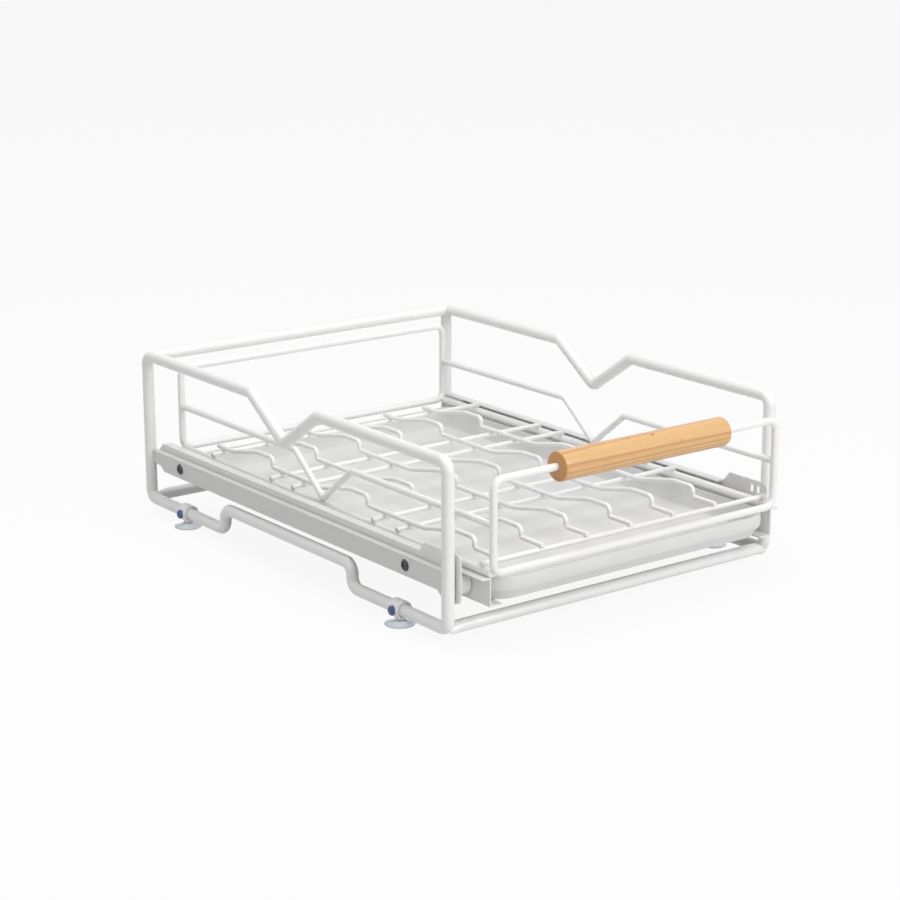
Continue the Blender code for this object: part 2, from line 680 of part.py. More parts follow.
def build_drawer_rails(finish, drawer):
    """Z-shaped rails: top flange on the roller, bottom flange under the tray."""
    front = -DRAWER_END_Y + RAIL_FRONT_MARGIN
    rear = DRAWER_END_Y - RAIL_REAR_MARGIN
    relief = REAR_ROLLER_Y - ROLLER_RADIUS - RAIL_ROLLER_RELIEF
    shoulder = RAIL_TOP_Z - SHEET
    outline = ((front, RAIL_Z), (rear, RAIL_Z), (rear, shoulder), (relief, shoulder), (front, shoulder))
    folds = ((0, -RAIL_BOTTOM_FLANGE), (3, RAIL_TOP_FLANGE))
    for side, tag in SIDES:
        rail = folded_sheet(f"{tag}_drawer_rail", side, RAIL_X, outline, folds, finish, drawer)
        middle = (DRAWER_X + RAIL_X) / 2
        drill_sheet(rail, side, PIN_BORE_RADIUS, middle, REAR_ROLLER_Y, REAR_ROLLER_Z)


def build_drawer_loops(finish, drawer):
    """Closed wire loops at the front and rear of the drawer."""
    low, high = FLOOR_WIRE_Z, DRAWER_TOP_Z
    rectangle = ((-DRAWER_X, low), (DRAWER_X, low), (DRAWER_X, high), (-DRAWER_X, high))
    corners = [Vector((x, 0, z)) for x, z in rectangle]
    route = rounded_route(corners, [LOOP_BEND_RADIUS] * len(corners), closed=True)
    for end, tag in ENDS:
        name = f"drawer_{tag}_loop"
        mesh = rod_mesh(name, route, LOOP_WIRE_RADIUS, LOOP_RESOLUTION, closed=True)
        add_object(name, mesh, finish, drawer, (0, end * DRAWER_END_Y, 0))


def build_side_wires(finish, drawer):
    """Straight floor wires and notched side wires between the two loops."""
    reach = DRAWER_END_Y - LOOP_WIRE_RADIUS - TOUCH_GAP
    wire_z = FLOOR_WIRE_Z + SIDE_WIRE_RISE
    tip_z = FLOOR_WIRE_Z + LOOP_WIRE_RADIUS + TOUCH_GAP + SIDE_WIRE_RADIUS
    half = SIDE_NOTCH_HALF_LENGTH
    tip_drop = SIDE_NOTCH_TIP_RADIUS / math.cos(math.atan2(wire_z - tip_z, half)) - SIDE_NOTCH_TIP_RADIUS
    corners = (
        (reach, wire_z, 0),
        (half, wire_z, SIDE_NOTCH_SHOULDER_RADIUS),
        (0, tip_z - tip_drop, SIDE_NOTCH_TIP_RADIUS),
        (-half, wire_z, SIDE_NOTCH_SHOULDER_RADIUS),
        (-reach, wire_z, 0),
    )
    points = [Vector((0, y, z)) for y, z, _ in corners]
    notched = rounded_route(points, [radius for _, _, radius in corners], closed=False)
    straight = [Vector((0, -reach, FLOOR_WIRE_Z)), Vector((0, reach, FLOOR_WIRE_Z))]
    for side, tag in SIDES:
        place = (side * DRAWER_X, 0, 0)
        floor = rod_mesh(f"{tag}_floor_wire", straight, LOOP_WIRE_RADIUS, LOOP_RESOLUTION)
        add_object(floor.name, floor, finish, drawer, place)
        notch = rod_mesh(f"{tag}_notch_wire", notched, SIDE_WIRE_RADIUS, LOOP_RESOLUTION)
        add_object(notch.name, notch, finish, drawer, place)


def cross_wire_places():
    """Y places of the cross wires, rear one first."""
    places = [DRAWER_END_Y - CROSS_WIRE_REAR_MARGIN]
    for fin in range(FIN_COUNT - 1):
        nose = FIN_FIRST_Y - fin * FIN_PITCH
        first = nose - CROSS_PAIR_OFFSET - fin * CROSS_PAIR_LAG
        places += [first, first - CROSS_PAIR_SPACING]
    places.append(-DRAWER_END_Y + CROSS_WIRE_FRONT_MARGIN)
    return places


def build_cross_wires(finish, drawer):
    """Thin wires across the drawer floor that carry the dividers."""
    reach = DRAWER_X + CROSS_WIRE_OVERHANG
    route = [Vector((-reach, 0, 0)), Vector((reach, 0, 0))]
    for number, y in enumerate(cross_wire_places(), start=1):
        name = f"cross_wire_{number}"
        mesh = rod_mesh(name, route, CROSS_WIRE_RADIUS, WIRE_RESOLUTION)
        add_object(name, mesh, finish, drawer, (0, y, CROSS_WIRE_Z))


def divider_route():
    """One divider from its rear tip forwards: a ramp, a crest and a hooked drop per fin."""
    corners = [(DRAWER_END_Y - DIVIDER_REAR_MARGIN, 0, 0)]
    for fin in range(FIN_COUNT):
        nose = FIN_FIRST_Y - fin * FIN_PITCH
        corners += [
            (nose + FIN_RAMP_LENGTH, 0, FIN_RAMP_RADIUS),
            (nose + FIN_CREST_LENGTH, FIN_HEIGHT, FIN_RAMP_RADIUS),
            (nose, FIN_HEIGHT, FIN_NOSE_RADIUS),
            (nose + FIN_UNDERCUT, 0, FIN_HEEL_RADIUS),
        ]
    corners.append((-DRAWER_END_Y + DIVIDER_FRONT_MARGIN, 0, 0))
    points = [Vector((0, y, z)) for y, z, _ in corners]
    return rounded_route(points, [radius for _, _, radius in corners], closed=False)


def build_dividers(finish, drawer):
    """The wavy wires that the bowls stand between."""
    route = divider_route()
    for index in range(DIVIDER_COUNT):
        name = f"divider_wire_{index + 1}"
        x = -DRAWER_X + DIVIDER_LEFT_INSET + index * DIVIDER_SPACING
        mesh = rod_mesh(name, route, DIVIDER_RADIUS, WIRE_RESOLUTION)
        add_object(name, mesh, finish, drawer, (x, 0, DIVIDER_Z))


def build_handle(finish, drawer):
    """A wooden sleeve on the top wire of the front loop; it turns about that wire."""
    half = HANDLE_LENGTH / 2
    bore = LOOP_WIRE_RADIUS + TOUCH_GAP
    shoulder = HANDLE_RADIUS - HANDLE_CHAMFER
    profile = (
        (bore, -half),
        (shoulder, -half),
        (HANDLE_RADIUS, -half + HANDLE_CHAMFER),
        (HANDLE_RADIUS, half - HANDLE_CHAMFER),
        (shoulder, half),
        (bore, half),
    )
    mesh = turned_mesh("wood_handle", profile, HANDLE_SEGMENTS, ring=True)
    place = (0, -DRAWER_END_Y, DRAWER_TOP_Z)
    add_object("wood_handle", mesh, finish, drawer, place, sideways(1))


def tray_ring(half_width, front_y, rear_y, z, inset):
    """One rounded rectangle of the tray, its corners reduced by the inset."""
    front_radius = TRAY_FRONT_RADIUS - inset
    rear_radius = TRAY_REAR_RADIUS - inset
    corners = (
        (-half_width, front_y, front_radius),
        (half_width, front_y, front_radius),
        (half_width, rear_y, rear_radius),
        (-half_width, rear_y, rear_radius),
    )
    points = [Vector((x, y, z)) for x, y, _ in corners]
    return rounded_route(points, [radius for _, _, radius in corners], closed=True)


def build_tray(finish, drawer):
    """A shallow tray with a bull-nosed rim that slides out between the rails."""
    tray = add_frame_point("tray_carriage", (0, 0, 0), drawer)
    floor_z = RAIL_Z + SHEET + TOUCH_GAP
    rim_z = floor_z + TRAY_HEIGHT
    lip_z = rim_z - TRAY_LIP_HEIGHT
    wide = DRAWER_X - TRAY_SIDE_GAP
    body = wide - TRAY_LIP_STEP
    narrow = wide - TRAY_DRAFT
    front = -DRAWER_END_Y - TRAY_FRONT_OVERHANG
    rear = DRAWER_END_Y - TRAY_REAR_MARGIN
    step, draft = TRAY_LIP_STEP, TRAY_DRAFT
    wall, lip = TRAY_WALL, TRAY_LIP_WALL
    floor_front = front + TRAY_FRONT_DRAFT
    rings = (
        tray_ring(narrow, floor_front, rear - draft, floor_z, draft),
        tray_ring(body, front + step + TRAY_NOSE, rear - step, lip_z, step),
        tray_ring(wide, front + TRAY_NOSE, rear, lip_z, 0),
        tray_ring(wide, front, rear, lip_z + TRAY_LIP_HEIGHT / 2, 0),
        tray_ring(wide, front + TRAY_NOSE, rear, rim_z, 0),
        tray_ring(wide - lip, front + TRAY_NOSE + lip, rear - lip, rim_z, lip),
        tray_ring(body - wall, front + step + TRAY_NOSE + lip, rear - step - wall, lip_z, lip),
        tray_ring(narrow - wall, floor_front + wall, rear - draft - wall, floor_z + wall, draft + wall),
    )
    shape = bmesh.new()
    loops = [[shape.verts.new(point) for point in ring] for ring in rings]
    for lower, upper in zip(loops, loops[1:]):
        for index in range(len(lower)):
            shape.faces.new((lower[index - 1], lower[index], upper[index], upper[index - 1]))
    shape.faces.new(loops[0])
    shape.faces.new(loops[-1])
    add_object("drip_tray", mesh_from(shape, "drip_tray"), finish, tray)


def main():
    """Clear the scene, then build the frame, the slides, the drawer and the tray."""
    for stale in list(bpy.data.objects):
        bpy.data.objects.remove(stale)
    powder_coat = material("white_powder_coat", (0.86, 0.86, 0.87), 0.32)
    sheet_coat = material("white_sheet_coat", (0.82, 0.82, 0.83), 0.35)
    nylon = material("white_nylon", (0.84, 0.84, 0.83), 0.45)
    zinc = material("zinc_steel", (0.55, 0.56, 0.58), 0.35, metallic=1.0)
    dark_steel = material("dark_steel", (0.05, 0.05, 0.055), 0.4, metallic=1.0)
    clear_vinyl = material("clear_vinyl", (0.58, 0.62, 0.72), 0.15, alpha=0.5)
    blue_vinyl = material("blue_vinyl", (0.07, 0.11, 0.30), 0.25)
    wood = material("pale_wood", (0.80, 0.48, 0.19), 0.5)
    tray_plastic = material("white_tray_plastic", (0.86, 0.86, 0.85), 0.28)
    frame = add_frame_point("frame_middle", (0, FRAME_CENTRE_Y, 0))
    build_side_loops(powder_coat, frame)
    build_cross_tubes(powder_coat, frame)
    build_feet(nylon, blue_vinyl, clear_vinyl, frame)
    build_slide_strips(sheet_coat, frame)
    build_channels(sheet_coat, frame)
    build_screws(dark_steel, frame)
    build_front_rollers(nylon, zinc, frame)
    drawer = add_frame_point("drawer_carriage", (0, -DRAWER_PULLED_OUT, 0), frame)
    build_drawer_loops(powder_coat, drawer)
    build_side_wires(powder_coat, drawer)
    build_cross_wires(powder_coat, drawer)
    build_dividers(powder_coat, drawer)
    build_drawer_rails(sheet_coat, drawer)
    build_rear_rollers(nylon, zinc, drawer)
    build_handle(wood, drawer)
    build_tray(tray_plastic, drawer)
    bpy.context.view_layer.update()


main()
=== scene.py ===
"""Looks of the pull-out bowl rack: bent tube frame, roller slides, wire drawer, handle and tray.

Lengths are metres, +X is the rack's right side, +Z is up and the drawer pulls out along -Y.
"""
from __future__ import annotations

import logging
import math
from dataclasses import dataclass, field
from enum import Enum

import bmesh
import bpy
from mathutils import Matrix, Vector

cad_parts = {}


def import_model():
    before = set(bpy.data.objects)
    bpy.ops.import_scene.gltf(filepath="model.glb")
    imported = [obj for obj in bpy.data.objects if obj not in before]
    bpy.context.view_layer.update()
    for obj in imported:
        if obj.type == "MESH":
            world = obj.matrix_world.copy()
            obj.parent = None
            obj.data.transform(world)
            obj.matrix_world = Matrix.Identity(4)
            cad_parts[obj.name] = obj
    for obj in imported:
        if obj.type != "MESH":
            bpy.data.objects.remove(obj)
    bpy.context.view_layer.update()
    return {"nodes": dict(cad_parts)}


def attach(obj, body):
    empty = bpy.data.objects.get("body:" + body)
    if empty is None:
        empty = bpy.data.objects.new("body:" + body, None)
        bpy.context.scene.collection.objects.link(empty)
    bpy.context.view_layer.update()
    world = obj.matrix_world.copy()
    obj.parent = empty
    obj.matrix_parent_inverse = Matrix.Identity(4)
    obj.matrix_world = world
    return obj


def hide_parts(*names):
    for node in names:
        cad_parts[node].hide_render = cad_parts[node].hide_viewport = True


LOG = logging.getLogger("bowl_rack")
MM = 0.001
# Sockets of a Mix node that mixes colours: its factor, its two colours and its result.
SHARE, UNDER, OVER, MIXED = 0, 6, 7, 2
# A rounding with one middle point has that point at this share of its width from either face.
ROUND = 0.3
Edges = list[bmesh.types.BMEdge]


class Side(Enum):
    """The two sides of the rack, with the sign of their X."""

    LEFT = -1
    RIGHT = 1

    @property
    def tag(self) -> str:
        """Lower-case word used in piece names."""
        return self.name.lower()


class End(Enum):
    """Front and rear of the rack, with the sign of their Y."""

    FRONT = -1
    REAR = 1

    @property
    def tag(self) -> str:
        """Lower-case word used in piece names."""
        return self.name.lower()


class Slot(str, Enum):
    """Material slots of the record."""

    FRAME_TUBE = "frame_tube"
    DRAWER_WIRE = "drawer_wire"
    SLIDE_SHEET = "slide_sheet"
    SCREW = "screw"
    ROLLER_PIN = "roller_pin"
    ROLLER = "roller"
    FOOT_CLIP = "foot_clip"
    FOOT_BUTTON = "foot_button"
    SUCTION_CUP = "suction_cup"
    HANDLE_WOOD = "handle_wood"
    TRAY_PLASTIC = "tray_plastic"


class Kind(Enum):
    """Node types in use, with Blender's names for them."""

    COORDINATES = "ShaderNodeTexCoord"
    MAPPING = "ShaderNodeMapping"
    NOISE = "ShaderNodeTexNoise"
    WAVE = "ShaderNodeTexWave"
    SEPARATE = "ShaderNodeSeparateXYZ"
    MATH = "ShaderNodeMath"
    VECTOR_MATH = "ShaderNodeVectorMath"
    RANGE = "ShaderNodeMapRange"
    MIX = "ShaderNodeMix"
    BUMP = "ShaderNodeBump"
    LIGHT_PATH = "ShaderNodeLightPath"
    DIFFUSE = "ShaderNodeBsdfDiffuse"
    EMISSION = "ShaderNodeEmission"
    BACKGROUND = "ShaderNodeBackground"
    MIX_SHADER = "ShaderNodeMixShader"
    MATERIAL_OUTPUT = "ShaderNodeOutputMaterial"
    WORLD_OUTPUT = "ShaderNodeOutputWorld"


def linear(code: str) -> tuple[float, float, float, float]:
    """Turn an sRGB hex colour into linear values.

    Args:
        code: Colour such as "#F4F5F6".

    Returns:
        Linear red, green, blue and an alpha of one.
    """
    values = []
    for start in (1, 3, 5):
        level = int(code[start:start + 2], 16) / 255
        # The numbers are those of the sRGB standard's curve.
        values.append(level / 12.92 if level <= 0.04045 else ((level + 0.055) / 1.055) ** 2.4)
    return (values[0], values[1], values[2], 1.0)


def add_node(
    tree: bpy.types.NodeTree,
    kind: Kind,
    settings: dict | None = None,
    links: dict | None = None,
) -> bpy.types.Node:
    """Add one shader node with its settings and incoming links.

    Args:
        tree: Node tree that gets the node.
        kind: Type of the node.
        settings: Attribute names, input names or input numbers with their values.
        links: Input names or numbers with the output socket that feeds each.

    Returns:
        The new node.
    """
    node = tree.nodes.new(kind.value)
    for key, value in (settings or {}).items():
        if isinstance(key, str) and hasattr(node, key):
            setattr(node, key, value)
        else:
            node.inputs[key].default_value = value
    for key, socket in (links or {}).items():
        tree.links.new(socket, node.inputs[key])
    return node


@dataclass(frozen=True)
class Look:
    """How a finish shows: its two tones, its span of roughness, its relief and its fixed values."""

    under: str | bpy.types.NodeSocket
    over: str
    roughness: tuple[float, float]
    strength: float
    depth: float
    fixed: dict[str, float] = field(default_factory=dict)


@dataclass(frozen=True)
class Surface:
    """A material in the making, on object coordinates."""

    material: bpy.types.Material
    tree: bpy.types.NodeTree
    shader: bpy.types.Node
    place: bpy.types.NodeSocket

    @classmethod
    def start(cls, name: str) -> Surface:
        """Start a material on object coordinates.

        Args:
            name: Material name.

        Returns:
            The surface, not dressed yet.
        """
        material = bpy.data.materials.new(name)
        material.use_nodes = True
        tree = material.node_tree
        place = add_node(tree, Kind.COORDINATES).outputs["Object"]
        return cls(material, tree, tree.nodes["Principled BSDF"], place)

    def dress(
        self,
        look: Look,
        tone: bpy.types.NodeSocket,
        gloss: bpy.types.NodeSocket,
        relief: bpy.types.NodeSocket,
    ) -> bpy.types.Material:
        """Let three patterns mix the tones, vary the roughness and raise the relief.

        Args:
            look: What the patterns vary, and the shader's fixed values.
            tone: Pattern that mixes the two tones.
            gloss: Pattern that varies the roughness.
            relief: Pattern that gives the height.

        Returns:
            The finished material.
        """
        tones = {"data_type": "RGBA", OVER: linear(look.over)}
        feeds = {SHARE: tone}
        if isinstance(look.under, str):
            tones[UNDER] = linear(look.under)
        else:
            feeds[UNDER] = look.under
        mixed = add_node(self.tree, Kind.MIX, tones, feeds)
        low, high = look.roughness
        rough = add_node(self.tree, Kind.RANGE, {"To Min": low, "To Max": high}, {"Value": gloss})
        height = {"Strength": look.strength, "Distance": look.depth}
        raised = add_node(self.tree, Kind.BUMP, height, {"Height": relief})
        self.tree.links.new(mixed.outputs[MIXED], self.shader.inputs["Base Color"])
        self.tree.links.new(rough.outputs["Result"], self.shader.inputs["Roughness"])
        self.tree.links.new(raised.outputs["Normal"], self.shader.inputs["Normal"])
        for name, value in look.fixed.items():
            self.shader.inputs[name].default_value = value
        return self.material


@dataclass(frozen=True)
class PolyesterPowderCoat:
    """Satin polyester powder baked on steel: soft highlights over a faint orange peel."""

    name: str = "polyester_powder_coat"
    pale: str = "#F6F6F5"
    shade: str = "#F0F0EF"
    roughness: tuple[float, float] = (0.25, 0.36)
    clouds: float = 14.0
    peel: float = 2.4 * MM

    def make(self) -> bpy.types.Material:
        """Build the coat: cloudy white, uneven gloss and the ripple of its peel.

        Returns:
            The finished material.
        """
        base = Surface.start(self.name)
        tree, place = base.tree, base.place
        # The film's thickness drifts over some 70 mm, which clouds the white.
        cloud = add_node(tree, Kind.NOISE, {"Scale": self.clouds, "Detail": 2.0}, {"Vector": place})
        # Real peel is about 1 mm across, near one pixel of the render, so it is drawn at 2.4 mm.
        peel = add_node(tree, Kind.NOISE, {"Scale": 1 / self.peel, "Detail": 1.0}, {"Vector": place})
        look = Look(
            under=self.shade,
            over=self.pale,
            roughness=self.roughness,
            strength=0.10,
            depth=0.03 * MM,
            fixed={"IOR": 1.5, "Coat Weight": 0.15, "Coat Roughness": 0.2},
        )
        return base.dress(look, cloud.outputs["Fac"], peel.outputs["Fac"], peel.outputs["Fac"])


@dataclass(frozen=True)
class CoatedSheetSteel:
    """The same coat on rolled sheet: flatter, with long faint rolling streaks."""

    name: str = "coated_rolled_sheet"
    pale: str = "#EFEFEE"
    shade: str = "#E6E6E5"
    roughness: tuple[float, float] = (0.30, 0.42)
    streak: float = 1.6 * MM
    draw: float = 0.025
    peel: float = 2.0 * MM

    def make(self) -> bpy.types.Material:
        """Build the coat: streaks run along the slide, drawn out forty times.

        Returns:
            The finished material.
        """
        base = Surface.start(self.name)
        tree, place = base.tree, base.place
        drawn = add_node(tree, Kind.MAPPING, {"Scale": (1.0, self.draw, 1.0)}, {"Vector": place})
        # Real rolling streaks are about 0.2 mm wide, too fine for a pixel, so they are drawn at 1.6 mm.
        streak = add_node(
            tree,
            Kind.NOISE,
            {"Scale": 1 / self.streak, "Detail": 3.0},
            {"Vector": drawn.outputs["Vector"]},
        )
        # The coat's own peel, drawn at 2 mm for the same reason.
        peel = add_node(tree, Kind.NOISE, {"Scale": 1 / self.peel, "Detail": 1.0}, {"Vector": place})
        look = Look(self.shade, self.pale, self.roughness, strength=0.08, depth=0.03 * MM)
        return base.dress(look, streak.outputs["Fac"], streak.outputs["Fac"], peel.outputs["Fac"])


@dataclass(frozen=True)
class MouldedPlastic:
    """Injection moulded plastic with a fine spark-eroded skin that softens its shine."""

    name: str
    pale: str
    shade: str
    roughness: tuple[float, float]
    grain: float
    depth: float = 0.03 * MM

    def make(self) -> bpy.types.Material:
        """Build the plastic: faint flow clouds under the grain of its mould.

        Returns:
            The finished material.
        """
        base = Surface.start(self.name)
        tree, place = base.tree, base.place
        # Clouds some 45 mm across, from the flow of the melt.
        flow = add_node(tree, Kind.NOISE, {"Scale": 22.0, "Detail": 2.0}, {"Vector": place})
        # A real spark-eroded grain is some 0.05 mm, so it is drawn at 0.5 to 0.8 mm, about a pixel.
        grain = add_node(tree, Kind.NOISE, {"Scale": 1 / self.grain, "Detail": 2.0}, {"Vector": place})
        look = Look(
            under=self.shade,
            over=self.pale,
            roughness=self.roughness,
            strength=0.25,
            depth=self.depth,
            fixed={"IOR": 1.49},
        )
        return base.dress(look, flow.outputs["Fac"], grain.outputs["Fac"], grain.outputs["Fac"])


@dataclass(frozen=True)
class SoftVinyl:
    """Plasticised vinyl, pressed in a polished mould: wet shine over a cloudy tint."""

    name: str
    pale: str
    shade: str
    clear: float
    roughness: tuple[float, float] = (0.12, 0.24)

    def make(self) -> bpy.types.Material:
        """Build the vinyl: tinted body, light passing through, slow ripples from the mould.

        Returns:
            The finished material.
        """
        base = Surface.start(self.name)
        # Ripples some 6 mm across, where the soft body drew in as it cooled.
        haze = add_node(base.tree, Kind.NOISE, {"Scale": 160.0, "Detail": 2.0}, {"Vector": base.place})
        pattern = haze.outputs["Fac"]
        look = Look(
            under=self.shade,
            over=self.pale,
            roughness=self.roughness,
            strength=0.2,
            depth=0.1 * MM,
            fixed={"Transmission Weight": self.clear, "IOR": 1.53},
        )
        return base.dress(look, pattern, pattern, pattern)


@dataclass(frozen=True)
class PlatedSteel:
    """Barrel-plated steel: metal with turning marks and a patchy dulled film."""

    name: str
    pale: str
    shade: str
    roughness: tuple[float, float]
    marks: float = 0.35 * MM

    def make(self) -> bpy.types.Material:
        """Build the metal: plating patches change both tone and shine.

        Returns:
            The finished material.
        """
        base = Surface.start(self.name)
        tree, place = base.tree, base.place
        # Patches some 2.4 mm across, where the parts lay against each other in the barrel.
        patch = add_node(tree, Kind.NOISE, {"Scale": 420.0, "Detail": 3.0}, {"Vector": place})
        # Real turning marks are about 0.1 mm apart, so they are drawn at 0.35 mm to show in close views.
        turned = add_node(tree, Kind.NOISE, {"Scale": 1 / self.marks, "Detail": 1.0}, {"Vector": place})
        look = Look(
            under=self.shade,
            over=self.pale,
            roughness=self.roughness,
            strength=0.15,
            depth=0.02 * MM,
            fixed={"Metallic": 1.0},
        )
        return base.dress(look, patch.outputs["Fac"], patch.outputs["Fac"], turned.outputs["Fac"])


@dataclass(frozen=True)
class Knot:
    """A pin knot or a resin-stained patch on the turned surface."""

    place: tuple[float, float, float]
    core: float
    reach: float
    depth: float
    stretch: float = 2.2


@dataclass(frozen=True)
class TurnedPine:
    """Turned pine under clear oil: honey earlywood, darker latewood lines, pin knots."""

    name: str = "oiled_turned_pine"
    early: str = "#E2B77F"
    late: str = "#B97834"
    end: str = "#CB8A44"
    knot: str = "#96501F"
    ring: float = 2.9 * MM
    fibre: float = 0.5 * MM
    heart: tuple[float, float, float] = (0.0, -210.0 * MM, 111.0 * MM)
    tilt: tuple[float, float, float] = (0.0, 0.03, -0.024)
    ring_draw: float = 14.0
    fibre_draw: float = 0.03
    roughness: tuple[float, float] = (0.34, 0.52)
    half_length: float = 84.0 * MM
    end_depth: float = 1.3 * MM
    knots: tuple[Knot, ...] = (
        Knot((-16.9 * MM, -230.8 * MM, 142.6 * MM), 0.3 * MM, 1.3 * MM, 0.9, 1.7),
        Knot((6.8 * MM, -232.6 * MM, 142.0 * MM), 0.4 * MM, 1.7 * MM, 0.95, 1.5),
        Knot((-47.7 * MM, -227.8 * MM, 142.9 * MM), 0.3 * MM, 3.2 * MM, 0.30, 3.6),
        Knot((63.7 * MM, -224.6 * MM, 142.3 * MM), 0.3 * MM, 3.6 * MM, 0.36, 4.0),
        Knot((31.0 * MM, -239.2 * MM, 135.0 * MM), 0.2 * MM, 1.3 * MM, 0.35, 3.2),
    )

    def stain(self, base: Surface, colour: bpy.types.NodeSocket, knot: Knot) -> bpy.types.NodeSocket:
        """Darken the wood round one knot.

        Args:
            base: Surface of the wood.
            colour: Colour so far.
            knot: Knot to add.

        Returns:
            The colour with the knot in it.
        """
        drift = add_node(
            base.tree,
            Kind.MAPPING,
            {"vector_type": "TEXTURE", "Location": knot.place, "Scale": (knot.stretch, 1.0, 1.0)},
            {"Vector": base.place},
        )
        away = add_node(base.tree, Kind.VECTOR_MATH, {"operation": "LENGTH"}, {0: drift.outputs["Vector"]})
        near = add_node(
            base.tree,
            Kind.RANGE,
            {
                "interpolation_type": "SMOOTHSTEP",
                "From Min": knot.core,
                "From Max": knot.reach,
                "To Min": knot.depth,
                "To Max": 0.0,
            },
            {"Value": away.outputs["Value"]},
        )
        mixed = add_node(
            base.tree,
            Kind.MIX,
            {"data_type": "RGBA", OVER: linear(self.knot)},
            {SHARE: near.outputs["Result"], UNDER: colour},
        )
        return mixed.outputs[MIXED]

    def make(self) -> bpy.types.Material:
        """Build the wood: growth rings round a far heart, long fibres, knots, end grain.

        Returns:
            The finished material.
        """
        base = Surface.start(self.name)
        tree, place = base.tree, base.place
        drawn = add_node(
            tree,
            Kind.MAPPING,
            {
                "vector_type": "TEXTURE",
                "Location": self.heart,
                "Rotation": self.tilt,
                "Scale": (self.ring_draw, 1.0, 1.0),
            },
            {"Vector": place},
        )
        # A wave's rings repeat every pi / 10 over its scale: 2.9 mm, the real spacing of the rings.
        rings = add_node(
            tree,
            Kind.WAVE,
            {
                "wave_type": "RINGS",
                "rings_direction": "X",
                "wave_profile": "SAW",
                "Scale": math.pi / 10 / self.ring,
                "Distortion": 2.6,
                "Detail": 3.0,
                "Detail Scale": 0.3,
            },
            {"Vector": drawn.outputs["Vector"]},
        )
        late = add_node(
            tree,
            Kind.RANGE,
            {"interpolation_type": "SMOOTHSTEP", "From Min": 0.45, "From Max": 1.0, "To Max": 0.62},
            {"Value": rings.outputs["Fac"]},
        )
        fibres = add_node(tree, Kind.MAPPING, {"Scale": (self.fibre_draw, 1.0, 1.0)}, {"Vector": place})
        # Real fibres are some 0.04 mm across, so they are drawn at 0.5 mm, as bundles that show.
        fibre = add_node(
            tree,
            Kind.NOISE,
            {"Scale": 1 / self.fibre, "Detail": 4.0, "Roughness": 0.6},
            {"Vector": fibres.outputs["Vector"]},
        )
        thread = add_node(
            tree,
            Kind.RANGE,
            {"From Min": 0.35, "From Max": 0.75, "To Max": 0.34},
            {"Value": fibre.outputs["Fac"]},
        )
        grained = add_node(
            tree,
            Kind.MIX,
            {"data_type": "RGBA", UNDER: linear(self.early), OVER: linear(self.late)},
            {SHARE: late.outputs["Result"]},
        )
        threaded = add_node(
            tree,
            Kind.MIX,
            {"data_type": "RGBA", OVER: linear(self.late)},
            {SHARE: thread.outputs["Result"], UNDER: grained.outputs[MIXED]},
        )
        colour = threaded.outputs[MIXED]
        for knot in self.knots:
            colour = self.stain(base, colour, knot)
        # The sawn ends drink more oil and are darker over the last millimetre.
        split = add_node(tree, Kind.SEPARATE, None, {0: place})
        along = add_node(tree, Kind.MATH, {"operation": "ABSOLUTE"}, {0: split.outputs["X"]})
        sawn = add_node(
            tree,
            Kind.RANGE,
            {
                "From Min": self.half_length - self.end_depth,
                "From Max": self.half_length - self.end_depth / 3,
                "To Max": 0.72,
            },
            {"Value": along.outputs[0]},
        )
        look = Look(
            under=colour,
            over=self.end,
            roughness=self.roughness,
            strength=0.3,
            depth=0.08 * MM,
            fixed={"IOR": 1.5, "Coat Weight": 0.4, "Coat Roughness": 0.28},
        )
        return base.dress(look, sawn.outputs["Result"], fibre.outputs["Fac"], fibre.outputs["Fac"])


@dataclass(frozen=True)
class Finishes:
    """Every finish of the rack, made once."""

    coat: bpy.types.Material
    sheet: bpy.types.Material
    # The strips' sheet coat, toned darker than the channels' as painted shade.
    strip: bpy.types.Material
    nylon: bpy.types.Material
    # The tray's plastic, toned grey as painted shade.
    tray: bpy.types.Material
    zinc: bpy.types.Material
    black: bpy.types.Material
    clear: bpy.types.Material
    blue: bpy.types.Material
    wood: bpy.types.Material

    @classmethod
    def make_all(cls) -> Finishes:
        """Make each finish from its own class.

        Returns:
            All the finishes.
        """
        return cls(
            coat=PolyesterPowderCoat().make(),
            sheet=CoatedSheetSteel().make(),
            # The strips get a darker copy of the same sheet coat: painted shade on their outer faces, which
            # the light reaches only weakly.
            strip=CoatedSheetSteel("coated_strip_sheet_painted_shade", "#E1E1E0", "#D9D9D8").make(),
            nylon=MouldedPlastic("moulded_nylon", "#FBFBFA", "#F6F6F5", (0.33, 0.45), 0.5 * MM).make(),
            # The white tray's tones are set grey: painted shade for its shaded inside.
            tray=MouldedPlastic("moulded_polypropylene", "#E3E3E2", "#DBDBDA", (0.25, 0.37), 0.8 * MM).make(),
            zinc=PlatedSteel("zinc_plated_steel", "#C9CCD0", "#A9ACB1", (0.24, 0.44)).make(),
            black=PlatedSteel("black_oxide_steel", "#606165", "#2A2B2E", (0.14, 0.34)).make(),
            clear=SoftVinyl("clear_soft_vinyl", "#F0F3F8", "#DCE2EC", clear=0.85).make(),
            blue=SoftVinyl("blue_soft_vinyl", "#6478B4", "#2C3C78", clear=0.15).make(),
            wood=TurnedPine().make(),
        )


def only_verts(geom: list) -> list[bmesh.types.BMVert]:
    """Pick the points out of what an operator returns."""
    return [item for item in geom if isinstance(item, bmesh.types.BMVert)]


@dataclass(frozen=True)
class Corner:
    """A corner of a bent bar, with the radius of its bend."""

    place: Vector
    radius: float = 0.0


